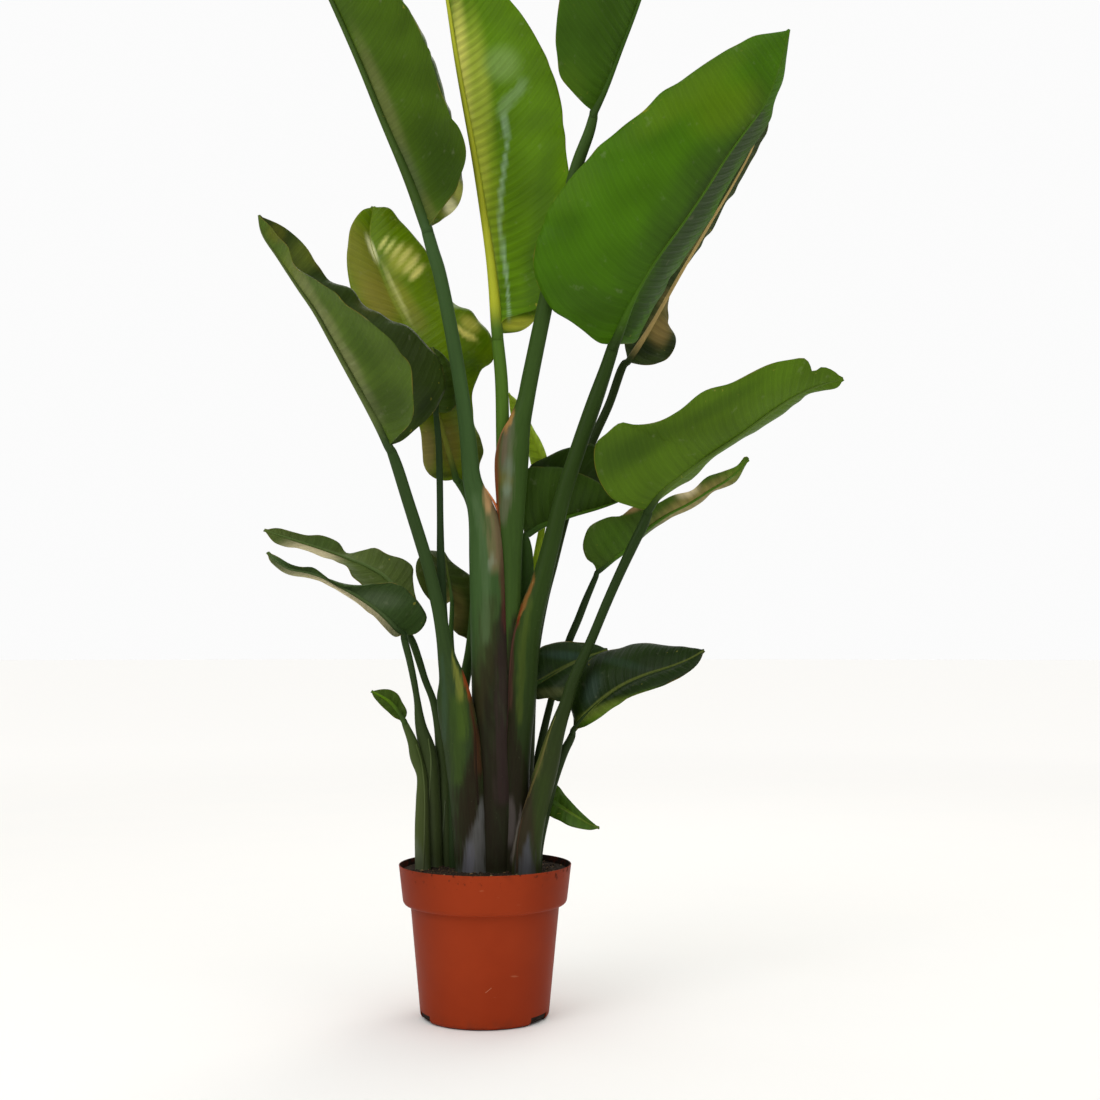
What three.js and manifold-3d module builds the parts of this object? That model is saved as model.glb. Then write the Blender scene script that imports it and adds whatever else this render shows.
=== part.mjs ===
// Potted giant bird of paradise: a clump of nineteen leaves in the soil of a plastic nursery pot.
// Millimetres, +Z up. The origin is the centre of the pot's underside, and -Y is the front.
import * as THREE from 'three';
import { mergeVertices } from 'three/addons/utils/BufferGeometryUtils.js';
import Module from 'manifold-3d';

const wasm = await Module();
wasm.setup();

// Pot: a tapered body below an outstanding band, with drain notches in its lower corner
const POT_HEIGHT = 208;
const RIM_RADIUS = 120;
const BAND_HEIGHT = 54;
const BAND_FOOT_RADIUS = 114;
const BAND_CORNER = 5;
const BODY_TOP_RADIUS = 103.5;
const BASE_RADIUS = 89;
const BASE_CORNER = 5;
const POT_WALL = 2;
const POT_FLOOR = 3;
const POT_SIDES = 48;
const NOTCH_HEIGHT = 11;
const NOTCH_WIDTH = 40;
const NOTCH_DEPTH = 12;
const NOTCH_ANGLES = [-33, -159, 87];

// A rounded corner's middle stands this share of the corner's size in from the sharp corner
const CORNER_MIDDLE = 0.3;

// Soil: fills the pot to just under its rim, with a lumpy top
const SOIL_BELOW_RIM = 9;
const SOIL_CROWN = 2;
const SOIL_LUMP = 1.4;
const SOIL_LUMP_PITCH = 17;
const SOIL_RINGS = [0.9, 0.75, 0.55, 0.35, 0.18];
const SOIL_LEVEL_FROM = 0.95;

// Leaves: plate thickness at the margin and at the midrib, and how far each half arches
const MARGIN_THICKNESS = 1;
const RIB_THICKNESS = 3;
const FOLD_DEPTH = 4;
const ARCH = 0.09;
const SENSES = [1, -1];

// A blade's ends: their half width, and how much of the fold is left there (0 is flat)
const END_HALF_WIDTH = 4;
const END_FOLD = 0.7;

// A blade has this many rows along it, by its length, and a third cell across each wide half
const STATION_PITCH = 34;
const FEWEST_STATIONS = 7;
const MOST_STATIONS = 16;
const WIDE_HALF = 45;

// Stalks: flattened from front to back, and lapped this far past the foot of the blade
const STALK_SIDES = 8;
const STALK_FLATNESS = 0.85;
const STALK_LAP = 3;

// Clearance between touching pieces
const GAP = 0.35;

// Each leaf is listed as it is seen from the front: x to the right and z up, in the upright plane through
// the pot's axis, from this far in front and this high. The third number, y, is the depth behind that
// plane, which moves the point along its line of sight. A stalk's fourth number is its half width there.
// The leaves run from the inside of the clump outwards, because older sheaths clasp the younger ones.
const VIEW_DISTANCE = 2100;
const VIEW_HEIGHT = 509;
const LEAVES = {
  "spear": {
    "stalk": [[43, 154, 24, 7], [47, 351, 26, 7], [52, 463, 30, 6.5], [59, 547, 34, 5.6], [67, 606, 38, 5.2],
      [73, 643, 40, 5.1], [79, 677, 42, 4.8], [81, 700, 42, 4.2]],
    "rib": [[81, 699, 42], [83, 731, 42], [78, 774, 42], [65, 811, 42], [49, 843, 42], [31, 870, 42]],
    "one": [[71, 731, 48], [63, 771, 52], [51, 803, 52], [36, 834, 50]],
    "two": [[90, 734, 46], [86, 777, 48], [76, 803, 50], [63, 826, 50], [46, 857, 48]],
  },
  "young_middle": {
    "stalk": [[37, 154, 16, 11.3], [41, 351, 16, 10.6], [47, 463, 16, 10.2], [54, 547, 16, 9.9],
      [58, 603, 16, 9.3], [58, 643, 15, 7.8], [55, 664, 14, 5.6]],
    "rib": [[55, 666, 14], [83, 683, 18], [120, 696, 25], [157, 706, 34], [192, 717, 46]],
    "one": [[48, 703, 12], [51, 738, 12], [59, 763, 13], [82, 764, 12], [106, 764, 11], [129, 757, 12],
      [146, 750, 15], [159, 743, 22], [176, 727, 33]],
    "two": [[58, 717, 27], [61, 764, 32], [86, 779, 35], [106, 789, 38], [116, 792, 40], [139, 796, 43],
      [153, 798, 46], [166, 782, 49], [173, 760, 50], [182, 736, 49]],
  },
  "shade_right": {
    "stalk": [[51, 154, 14, 11.3], [57, 351, 14, 11.3], [64, 491, 14, 10.6], [80, 575, 20, 8.5],
      [93, 625, 30, 8.2], [110, 689, 44, 7.5], [129, 749, 58, 7], [151, 803, 68, 6.6], [175, 855, 72, 6.1],
      [193, 906, 74, 5.9], [199, 917, 74, 4.8]],
    "rib": [[202, 916, 74], [234, 966, 92], [278, 1045, 112], [319, 1115, 128], [356, 1178, 140],
      [384, 1231, 150], [403, 1285, 158]],
    "one": [[227, 912, 74], [248, 915, 82], [264, 927, 94], [271, 948, 110], [260, 976, 130],
      [262, 1007, 150], [272, 1033, 166], [294, 1068, 182], [327, 1115, 196], [341, 1142, 202],
      [363, 1175, 204], [389, 1225, 200], [406, 1257, 185], [408, 1278, 170]],
    "two": [[197, 948, 94], [202, 991, 116], [227, 1053, 140], [264, 1116, 158], [305, 1183, 170],
      [347, 1240, 172], [381, 1276, 166]],
  },
  "low_right_back": {
    "stalk": [[50, 154, 44, 8.5], [50, 351, 42, 7], [54, 421, 38, 6.2], [62, 450, 33, 4.8]],
    "rib": [[62, 451, 33], [83, 464, 33], [105, 477, 34], [136, 492, 38], [172, 505, 42]],
    "one": [[64, 484, 36], [76, 507, 38], [90, 513, 40], [113, 517, 42], [137, 515, 44], [157, 512, 44]],
    "two": [[69, 436, 26], [89, 437, 20], [106, 432, 16], [121, 443, 16], [140, 462, 22], [158, 485, 32]],
  },
  "mid_right_back": {
    "stalk": [[66, 154, 34, 7], [70, 309, 36, 6.5], [74, 351, 38, 6.3], [79, 379, 42, 5.6],
      [92, 434, 54, 4.9], [106, 484, 60, 5.1], [118, 519, 58, 5.4], [130, 547, 52, 5.4], [141, 575, 44, 5.1],
      [157, 612, 32, 3.9]],
    "rib": [[157, 614, 32], [178, 631, 28], [204, 652, 26], [228, 676, 26], [259, 698, 28], [290, 714, 32],
      [317, 731, 36], [348, 750, 42], [375, 776, 48]],
    "one": [[153, 625, 26], [143, 633, 18], [137, 650, 12], [140, 667, 8], [147, 680, 6], [173, 693, 6],
      [191, 695, 8], [209, 708, 10], [226, 709, 14], [244, 713, 18], [266, 725, 24], [292, 731, 30],
      [315, 751, 36], [357, 767, 44], [371, 782, 48]],
    "two": [[177, 628, 46], [198, 645, 64], [226, 671, 78], [259, 694, 82], [290, 707, 76], [309, 719, 70],
      [323, 731, 64], [355, 743, 54]],
  },
  "tiny_right": {
    "stalk": [[57, 154, 4, 7], [57, 201, 3, 7], [67, 240, 2, 6.5], [75, 274, 0, 6.2], [85, 294, -2, 5.1]],
    "rib": [[85, 295, -2], [104, 287, -6], [125, 274, -16], [147, 261, -26], [160, 256, -32]],
    "one": [[92, 316, 0], [100, 316, -2], [113, 300, -8], [128, 284, -15], [145, 268, -25]],
    "two": [[85, 278, -6], [93, 271, -10], [104, 266, -16], [117, 259, -24], [132, 255, -30],
      [149, 253, -32]],
  },
  "low_right": {
    "stalk": [[67, 154, -20, 9.9], [71, 226, -19, 9.9], [81, 274, -17, 9.2], [92, 316, -16, 8.5],
      [103, 345, -16, 7], [111, 364, -16, 6.3], [120, 381, -17, 5.4], [123, 390, -18, 4.2]],
    "rib": [[123, 392, -19], [140, 412, -29], [162, 433, -40], [192, 454, -53], [225, 469, -67],
      [262, 481, -80], [289, 492, -91], [309, 504, -100]],
    "one": [[123, 409, -12], [119, 426, -8], [126, 448, -4], [138, 479, 0], [154, 495, -1], [171, 503, -4],
      [199, 510, -13], [225, 515, -26], [253, 512, -45], [280, 509, -68], [299, 507, -88]],
    "two": [[141, 398, -40], [161, 409, -57], [185, 427, -75], [210, 441, -88], [236, 450, -100],
      [264, 460, -108], [279, 469, -110], [294, 479, -107], [304, 491, -102]],
  },
  "tall_middle": {
    "stalk": [[29, 154, 2, 17], [29, 435, 2, 12.7], [27, 575, 2, 10.6], [24, 717, 4, 9.9], [23, 817, 5, 9.6],
      [21, 889, 6, 9.2], [15, 952, 8, 8.5]],
    "rib": [[15, 956, 8], [6, 1059, 12], [-6, 1149, 18], [-18, 1222, 24], [-32, 1296, 32], [-43, 1356, 40],
      [-56, 1436, 52], [-68, 1506, 64]],
    "one": [[26, 977, 2], [47, 983, -4], [72, 992, -8], [93, 1019, -8], [109, 1063, -10], [119, 1114, -12],
      [121, 1166, -12], [114, 1224, -8], [105, 1298, 0], [86, 1358, 10], [47, 1427, 30], [-11, 1484, 52]],
    "two": [[30, 956, 22], [50, 960, 34], [66, 973, 42], [78, 1005, 52], [85, 1077, 75], [80, 1180, 95],
      [66, 1282, 105], [44, 1371, 108], [6, 1444, 100], [-37, 1491, 80]],
  },
  "tall_right": {
    "stalk": [[29, 154, -5, 31], [30, 323, -5, 27], [33, 435, -7, 21], [34, 547, -10, 16], [35, 632, -12, 15.5],
      [35, 717, -12, 21], [38, 788, -12, 23], [46, 824, -10, 17], [55, 856, -12, 12.7], [62, 892, -14, 12],
      [82, 990, -26, 11.3], [106, 1100, -38, 9.9], [129, 1200, -46, 9.2], [148, 1254, -50, 7.8],
      [154, 1278, -52, 6.3]],
    "rib": [[154, 1281, -52], [172, 1321, -50], [195, 1381, -44], [222, 1456, -34], [251, 1554, -18],
      [281, 1661, 2], [298, 1722, 14]],
    "one": [[141, 1291, -62], [122, 1311, -80], [106, 1332, -96], [101, 1359, -106], [99, 1402, -114],
      [109, 1476, -114], [137, 1567, -96], [189, 1651, -54], [245, 1705, -12]],
    "two": [[161, 1299, -30], [166, 1328, -5], [172, 1388, 20], [184, 1478, 48], [210, 1583, 62],
      [247, 1667, 48], [277, 1709, 28]],
  },
  "broad_right": {
    "stalk": [[42, 154, -20, 25], [43, 301, -20, 18.3], [45, 379, -19, 19.7], [50, 437, -18, 21],
      [55, 512, -17, 20.4], [62, 550, -16, 19], [72, 581, -15, 16.2], [83, 620, -14, 13.4],
      [95, 667, -13, 12.4], [107, 717, -12, 11.7], [130, 789, -11, 11.3], [153, 855, -11, 11.3],
      [171, 907, -12, 9.6], [181, 938, -14, 8.7]],
    "rib": [[182, 942, -14], [208, 1003, -42], [242, 1062, -63], [284, 1121, -79], [319, 1173, -90],
      [344, 1213, -98], [372, 1253, -104], [402, 1295, -109], [424, 1348, -110], [441, 1408, -106]],
    "one": [[162, 943, -19], [136, 962, -32], [106, 983, -48], [92, 993, -55], [72, 1029, -66],
      [66, 1060, -71], [75, 1101, -76], [89, 1137, -80], [115, 1176, -84], [145, 1213, -90],
      [195, 1261, -99], [225, 1284, -104], [260, 1317, -109], [285, 1332, -112], [328, 1362, -114],
      [382, 1395, -111]],
    "two": [[201, 942, 1], [214, 947, 12], [241, 999, 27], [282, 1068, 36], [313, 1112, 39],
      [335, 1161, 40], [360, 1206, 36], [387, 1246, 27], [405, 1279, 10], [406, 1298, -11],
      [427, 1334, -52], [433, 1364, -77]],
  },
  "bright_left": {
    "stalk": [[-46, 154, 46, 9.9], [-44, 323, 44, 9.2], [-36, 421, 40, 8.5], [-28, 470, 36, 7.8],
      [-21, 507, 32, 7.8], [-14, 575, 26, 8.5], [-14, 653, 24, 8.9], [-17, 697, 24, 8.5], [-24, 719, 24, 7.3],
      [-35, 737, 23, 6.2], [-42, 745, 22, 5.1]],
    "rib": [[-43, 746, 22], [-65, 823, 32], [-89, 902, 45], [-116, 968, 58], [-135, 1003, 68],
      [-154, 1049, 81], [-167, 1092, 95], [-163, 1137, 110]],
    "one": [[-58, 744, 19], [-70, 746, 17], [-81, 753, 17], [-88, 765, 17], [-91, 788, 19], [-94, 816, 21],
      [-111, 859, 26], [-140, 909, 32], [-169, 959, 43], [-189, 1002, 53], [-199, 1048, 66],
      [-198, 1087, 78], [-193, 1111, 88], [-177, 1133, 101]],
    "two": [[-26, 742, 32], [-10, 748, 38], [-9, 767, 42], [-3, 787, 46], [-13, 814, 51], [-19, 842, 55],
      [-21, 870, 57], [-8, 901, 59], [8, 917, 61], [6, 953, 63], [-11, 975, 68], [-30, 992, 75],
      [-50, 1003, 81], [-67, 1039, 88], [-86, 1071, 94], [-123, 1117, 104], [-142, 1136, 110]],
  },
  "low_middle": {
    "stalk": [[-30, 154, 66, 8.5], [-36, 351, 62, 7], [-43, 435, 56, 5.6], [-47, 491, 44, 4.2],
      [-49, 531, 34, 3.5], [-48, 558, 32, 3.2], [-48, 574, 36, 2.8]],
    "rib": [[-48, 575, 36], [-51, 595, 48], [-55, 617, 62], [-59, 643, 80]],
    "one": [[-65, 565, 33], [-83, 579, 32], [-93, 595, 34], [-99, 614, 38], [-97, 631, 46], [-83, 644, 60]],
    "two": [[-51, 550, 42], [-43, 529, 44], [-29, 522, 48], [-18, 516, 52], [-8, 540, 56], [-7, 575, 62],
      [-16, 603, 66], [-34, 616, 70], [-47, 626, 76]],
  },
  "small_left": {
    "stalk": [[-41, 154, 8, 8.5], [-45, 351, 6, 7.8], [-50, 435, 2, 7], [-53, 491, -2, 6.3], [-58, 533, -4, 5.9],
      [-62, 589, -4, 5.8], [-64, 637, -4, 5.6], [-65, 688, -4, 4.8], [-66, 748, -3, 4.7], [-68, 802, 0, 4.5],
      [-72, 841, 4, 3.9]],
    "rib": [[-72, 842, 4], [-69, 865, 8], [-69, 889, 11], [-72, 913, 12], [-78, 935, 12]],
    "one": [[-86, 851, 2], [-96, 871, 4], [-99, 895, 6], [-92, 919, 8]],
    "two": [[-56, 841, 10], [-42, 853, 14], [-38, 875, 16], [-43, 898, 16], [-55, 917, 15], [-68, 930, 13]],
  },
  "low_left_back": {
    "stalk": [[-55, 154, 34, 12], [-57, 296, 32, 12], [-60, 351, 31, 10], [-65, 397, 30, 7.4],
      [-74, 435, 30, 5.2], [-85, 463, 31, 4.9], [-94, 491, 33, 5.2], [-102, 514, 34, 5.2],
      [-108, 527, 34, 4.2]],
    "rib": [[-109, 531, 34], [-117, 572, 48], [-138, 603, 63], [-166, 621, 74], [-191, 631, 82],
      [-220, 642, 86], [-253, 653, 89], [-283, 663, 90], [-312, 673, 90]],
    "one": [[-96, 561, 49], [-101, 589, 62], [-103, 606, 72], [-103, 621, 77], [-114, 631, 82],
      [-140, 640, 90], [-156, 648, 95], [-171, 645, 98], [-189, 641, 99], [-197, 642, 100],
      [-208, 656, 100], [-232, 666, 97], [-252, 666, 96], [-270, 670, 96], [-294, 676, 93]],
    "two": [[-126, 558, 33], [-152, 579, 36], [-174, 596, 42], [-188, 607, 49], [-197, 623, 58],
      [-225, 634, 65], [-253, 645, 72], [-276, 649, 78], [-297, 655, 83]],
  },
  "low_left": {
    "stalk": [[-70, 154, 24, 13], [-75, 296, 22, 13.4], [-80, 358, 20, 12.6], [-91, 400, 18, 7.8],
      [-96, 435, 17, 4.7], [-101, 463, 16, 4.7], [-107, 491, 14, 4.9], [-113, 514, 13, 5.1],
      [-116, 526, 12, 4.5]],
    "rib": [[-115, 527, 12], [-126, 534, 1], [-139, 547, -9], [-156, 562, -22], [-183, 580, -38],
      [-208, 594, -55], [-230, 606, -70], [-253, 613, -82], [-277, 618, -93], [-293, 628, -101],
      [-307, 642, -110]],
    "one": [[-102, 526, 19], [-90, 534, 22], [-83, 550, 21], [-89, 564, 16], [-107, 586, 6],
      [-121, 595, -5], [-134, 600, -14], [-152, 597, -27], [-187, 594, -48], [-205, 594, -60],
      [-225, 607, -72], [-243, 621, -82], [-260, 621, -91], [-275, 625, -98], [-292, 635, -104]],
    "two": [[-128, 524, -13], [-149, 544, -37], [-173, 565, -60], [-195, 580, -76], [-223, 597, -93],
      [-249, 606, -104], [-274, 610, -108], [-289, 617, -109], [-303, 629, -108]],
  },
  "tiny_left": {
    "stalk": [[-85, 154, 8, 11.3], [-88, 254, 8, 10.4], [-88, 296, 8, 9], [-89, 330, 8, 7.3],
      [-97, 355, 8, 8.5], [-102, 376, 8, 7], [-109, 393, 8, 5.4], [-114, 404, 10, 4.2]],
    "rib": [[-114, 405, 10], [-123, 418, 6], [-134, 431, 2], [-147, 440, -2], [-160, 447, -6]],
    "one": [[-110, 418, 14], [-117, 432, 14], [-123, 443, 12], [-133, 449, 8], [-144, 450, 3]],
    "two": [[-127, 410, 0], [-137, 419, -6], [-148, 429, -9], [-156, 438, -9]],
  },
  "tall_left": {
    "stalk": [[9, 154, -14, 33], [11, 295, -14, 31], [9, 379, -14, 28], [7, 463, -14, 27], [4, 547, -14, 26],
      [1, 632, -14, 25], [-3, 685, -14, 22], [-10, 712, -14, 18], [-20, 745, -14, 13.4], [-26, 802, -13, 11.7],
      [-35, 868, -12, 10.3], [-50, 956, -10, 9.9], [-69, 1047, -6, 9.6], [-77, 1073, -4, 9.3],
      [-86, 1105, -1, 8.5]],
    "rib": [[-86, 1106, 0], [-111, 1174, 10], [-147, 1262, 25], [-185, 1354, 45], [-236, 1466, 75],
      [-292, 1583, 110]],
    "one": [[-70, 1127, -28], [-46, 1163, -55], [-35, 1193, -66], [-32, 1222, -70], [-42, 1254, -74],
      [-58, 1281, -72], [-80, 1355, -58], [-119, 1435, -22], [-185, 1515, 35], [-250, 1569, 85]],
    "two": [[-67, 1118, 36], [-50, 1131, 50], [-39, 1149, 62], [-35, 1177, 70], [-41, 1222, 80],
      [-68, 1325, 98], [-105, 1413, 112], [-156, 1486, 126], [-228, 1559, 126]],
  },
  "broad_left": {
    "stalk": [[-16, 154, -30, 22.5], [-25, 295, -31, 24.2], [-33, 372, -31, 26.2], [-44, 435, -30, 24.8],
      [-47, 463, -29, 19], [-54, 491, -28, 13.4], [-59, 519, -26, 10.6], [-65, 554, -26, 9.6],
      [-73, 589, -26, 9.2], [-82, 624, -27, 8.9], [-93, 660, -28, 8.9], [-111, 716, -33, 8.5],
      [-127, 766, -39, 8], [-136, 790, -42, 6.5]],
    "rib": [[-139, 793, -42], [-149, 814, -53], [-168, 850, -66], [-188, 887, -78], [-215, 936, -92],
      [-244, 987, -106], [-267, 1020, -117], [-296, 1063, -130], [-319, 1097, -141], [-326, 1123, -150]],
    "one": [[-128, 803, -67], [-114, 819, -95], [-103, 836, -116], [-104, 866, -130], [-110, 908, -143],
      [-126, 932, -152], [-143, 948, -159], [-173, 976, -167], [-209, 1005, -171], [-239, 1030, -173],
      [-270, 1047, -169], [-285, 1079, -163], [-305, 1103, -156]],
    "two": [[-122, 800, -31], [-96, 820, -23], [-72, 846, -18], [-60, 875, -19], [-63, 908, -21],
      [-86, 937, -30], [-112, 964, -42], [-141, 976, -54], [-173, 995, -66], [-192, 1019, -79],
      [-225, 1030, -93], [-242, 1053, -105], [-253, 1072, -115], [-288, 1105, -134]],
  },
  "mid_right": {
    "stalk": [[58, 154, -40, 20.4], [58, 226, -40, 20.4], [66, 267, -40, 18], [74, 295, -40, 16.4],
      [80, 320, -40, 17], [89, 351, -39, 15.2], [96, 378, -38, 13], [104, 404, -37, 11], [113, 429, -36, 9.3],
      [123, 461, -34, 8.5], [148, 517, -32, 6.9], [172, 574, -31, 6.8], [190, 614, -30, 6.9],
      [211, 658, -29, 7.3], [223, 682, -28, 7.2], [231, 702, -28, 6.3]],
    "rib": [[230, 703, -28], [249, 729, -37], [282, 755, -48], [315, 780, -59], [363, 813, -72],
      [409, 847, -85], [450, 873, -98], [482, 886, -109], [513, 894, -120]],
    "one": [[203, 709, -39], [179, 720, -48], [162, 742, -57], [153, 772, -64], [156, 799, -73],
      [170, 812, -80], [192, 829, -89], [206, 825, -94], [245, 831, -105], [275, 847, -113],
      [308, 873, -122], [349, 887, -129], [408, 915, -134], [436, 921, -135], [459, 923, -134],
      [469, 904, -125], [482, 911, -128], [497, 907, -125]],
    "two": [[253, 722, -14], [272, 735, -8], [290, 747, -4], [303, 757, -4], [311, 771, -6],
      [322, 783, -10], [335, 791, -14], [381, 818, -30], [428, 843, -52], [453, 866, -76],
      [480, 876, -96], [505, 882, -112]],
  },
};

// A listed point, in space
function place([x, z, y]) {
  const scale = 1 + y / VIEW_DISTANCE;
  return new THREE.Vector3(x * scale, y, VIEW_HEIGHT + (z - VIEW_HEIGHT) * scale);
}

function paint(color, roughness) {
  return new THREE.MeshStandardMaterial({ color, roughness, metalness: 0 });
}

// Turns flat lists of positions and of triangles into a geometry whose faces point outwards
function closedGeometry(positions, triangles) {
  const geometry = new THREE.BufferGeometry();
  geometry.setAttribute('position', new THREE.Float32BufferAttribute(positions, 3));
  geometry.setIndex(signedVolume(positions, triangles) < 0 ? triangles.toReversed() : triangles);
  geometry.computeVertexNormals();
  return geometry;
}

function signedVolume(positions, triangles) {
  const corner = (i) => new THREE.Vector3().fromArray(positions, 3 * triangles[i]);
  let volume = 0;
  for (let i = 0; i < triangles.length; i += 3) {
    volume += corner(i).dot(corner(i + 1).cross(corner(i + 2))) / 6;
  }
  return volume;
}

function toSolid(geometry) {
  const bare = geometry.clone();
  bare.deleteAttribute('normal');
  bare.deleteAttribute('uv');
  const merged = mergeVertices(bare);
  return new wasm.Manifold(new wasm.Mesh({
    numProp: 3,
    vertProperties: merged.attributes.position.array,
    triVerts: Uint32Array.from(merged.index.array),
  }));
}

// The largest connected body of a solid, without the loose scraps that a cut leaves
function toGeometry(solid) {
  const mesh = solid.getMesh();
  const positions = Array.from(mesh.vertProperties);
  const body = Array.from({ length: positions.length / 3 }, (_, i) => i);
  const root = (i) => {
    while (body[i] !== i) i = body[i];
    return i;
  };
  for (let i = 0; i < mesh.triVerts.length; i += 3) {
    body[root(mesh.triVerts[i])] = root(mesh.triVerts[i + 1]);
    body[root(mesh.triVerts[i + 1])] = root(mesh.triVerts[i + 2]);
  }
  const bodies = new Map();
  for (let i = 0; i < mesh.triVerts.length; i += 3) {
    const key = root(mesh.triVerts[i]);
    bodies.set(key, [...(bodies.get(key) ?? []), ...mesh.triVerts.slice(i, i + 3)]);
  }
  const largest = [...bodies.values()].reduce((most, next) =>
    (signedVolume(positions, next) > signedVolume(positions, most) ? next : most));
  return closedGeometry(positions, largest);
}

function cut(geometry, cutters) {
  return toGeometry(cutters.reduce((solid, cutter) => solid.subtract(toSolid(cutter)), toSolid(geometry)));
}

// A closed tube through rings of points, with a fan over each end
function tube(rings) {
  const sides = rings[0].length;
  const positions = rings.flat().flatMap((p) => p.toArray());
  const triangles = [];
  for (let i = 0; i + 1 < rings.length; i += 1) {
    for (let j = 0; j < sides; j += 1) {
      const a = i * sides + j;
      const b = i * sides + ((j + 1) % sides);
      triangles.push(a, b, b + sides, a, b + sides, a + sides);
    }
  }
  const last = (rings.length - 1) * sides;
  for (let j = 1; j + 1 < sides; j += 1) {
    triangles.push(0, j + 1, j, last, last + j, last + j + 1);
  }
  return closedGeometry(positions, triangles);
}

// A closed plate between two grids of points, with every cell split alike on both faces
function plate(top, bottom) {
  const rows = top.length;
  const columns = top[0].length;
  const positions = [...top.flat(), ...bottom.flat()].flatMap((p) => p.toArray());
  const under = rows * columns;
  const triangles = [];
  const wall = (a, b) => triangles.push(a, b, b + under, a, b + under, a + under);
  for (let i = 0; i + 1 < rows; i += 1) {
    for (let j = 0; j + 1 < columns; j += 1) {
      const a = i * columns + j;
      const b = a + 1;
      const c = b + columns;
      const d = a + columns;
      triangles.push(a, c, b, a, d, c);
      triangles.push(a + under, b + under, c + under, a + under, c + under, d + under);
    }
    wall((i + 1) * columns, i * columns);
    wall((i + 1) * columns - 1, (i + 2) * columns - 1);
  }
  for (let j = 0; j + 1 < columns; j += 1) {
    wall(j, j + 1);
    wall((rows - 1) * columns + j + 1, (rows - 1) * columns + j);
  }
  return closedGeometry(positions, triangles);
}

// A leaf stalk: an oval tube along its listed points, made fatter all round by the given clearance
function stalkGeometry(stalk, clearance = 0) {
  const path = stalk.map(place);
  const end = path.length - 1;
  const lap = path[end].clone().sub(path[end - 1]).setLength(STALK_LAP + clearance);
  path[end].add(lap);
  path[0].z -= clearance;
  const rings = path.map((center, i) => {
    const along = path[Math.min(i + 1, end)].clone().sub(path[Math.max(i - 1, 0)]).normalize();
    const side = new THREE.Vector3(0, 1, 0).cross(along).normalize();
    const front = along.clone().cross(side);
    const halfWidth = stalk[i][3] * (1 + stalk[i][2] / VIEW_DISTANCE) + clearance;
    const halfDepth = halfWidth * STALK_FLATNESS + clearance * (1 - STALK_FLATNESS);
    return Array.from({ length: STALK_SIDES }, (_, j) => {
      const turn = (2 * Math.PI * j) / STALK_SIDES;
      return center.clone()
        .addScaledVector(side, halfWidth * Math.cos(turn))
        .addScaledVector(front, halfDepth * Math.sin(turn));
    });
  });
  return tube(rings);
}

// A blade's halves are its side from the midrib to margin one and its side to margin two. A folded blade
// opens out at its two ends, so that its thin halves stay apart while they narrow.
function openEnd(across, end, beside, along) {
  const apart = across[0][beside].clone().sub(across[1][beside]).projectOnPlane(along).normalize();
  across.forEach((half, side) => {
    const lean = half[beside].clone().projectOnVector(along);
    const level = half[beside].clone().sub(lean);
    const width = level.length();
    level.setLength(END_FOLD).addScaledVector(apart, SENSES[side]).setLength(width);
    half[end] = lean.add(level).setLength(END_HALF_WIDTH);
  });
}

// A leaf blade: a thin plate between its midrib and its two margins, each half arched to the same face
function bladeGeometry({ rib, one, two }) {
  const curve = (points) => new THREE.CatmullRomCurve3(points.map(place));
  const ribCurve = curve(rib);
  const stations = Math.round(
    THREE.MathUtils.clamp(ribCurve.getLength() / STATION_PITCH, FEWEST_STATIONS, MOST_STATIONS),
  );
  const ribPoints = ribCurve.getSpacedPoints(stations);
  const step = (from, to) => ribPoints[to].clone().sub(ribPoints[from]);
  const across = [one, two].map((margin) => {
    const edgePoints = curve([rib[0], ...margin, rib.at(-1)]).getSpacedPoints(stations);
    return edgePoints.map((p, i) => p.sub(ribPoints[i]));
  });
  openEnd(across, 0, 1, step(0, 1));
  openEnd(across, stations, stations - 1, step(stations - 1, stations));
  const normals = across.map((half, side) => half.map((v, i) => {
    const along = step(Math.max(i - 1, 0), Math.min(i + 1, stations));
    return along.cross(v).setLength(SENSES[side]);
  }));
  const halves = across.map((half, side) => {
    const cells = Math.max(...half.map((v) => v.length())) > WIDE_HALF ? 3 : 2;
    return ribPoints.map((p, i) => Array.from({ length: cells }, (_, j) => {
      const share = (j + 1) / cells;
      const lift = 4 * ARCH * half[i].length() * share * (1 - share);
      return p.clone().addScaledVector(half[i], share).addScaledVector(normals[side][i], lift);
    }));
  });
  const middle = ribPoints.map((p, i) => [...halves[0][i].toReversed(), p, ...halves[1][i]]);
  const ribColumn = halves[0][0].length;
  const columns = middle[0].length;
  const offset = (i, j, sense) => {
    const along = middle[Math.min(i + 1, stations)][j].clone().sub(middle[Math.max(i - 1, 0)][j]);
    const over = middle[i][Math.min(j + 1, columns - 1)].clone().sub(middle[i][Math.max(j - 1, 0)]);
    return along.cross(over).setLength((sense * MARGIN_THICKNESS) / 2);
  };
  // The tighter the fold, the farther the midrib's faces stand from its middle, to keep the halves' thickness
  const ribOffset = (i, sense) => {
    const inward = normals[0][i].clone().add(normals[1][i]).normalize();
    const mitre = MARGIN_THICKNESS / 2 / inward.dot(normals[0][i]);
    const depth = THREE.MathUtils.clamp(mitre, RIB_THICKNESS / 2, FOLD_DEPTH);
    return inward.setLength(-sense * depth);
  };
  const face = (sense) => middle.map((row, i) => row.map((p, j) => p.clone().add(
    j === ribColumn ? ribOffset(i, sense) : offset(i, j, sense),
  )));
  return plate(face(1), face(-1));
}

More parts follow.
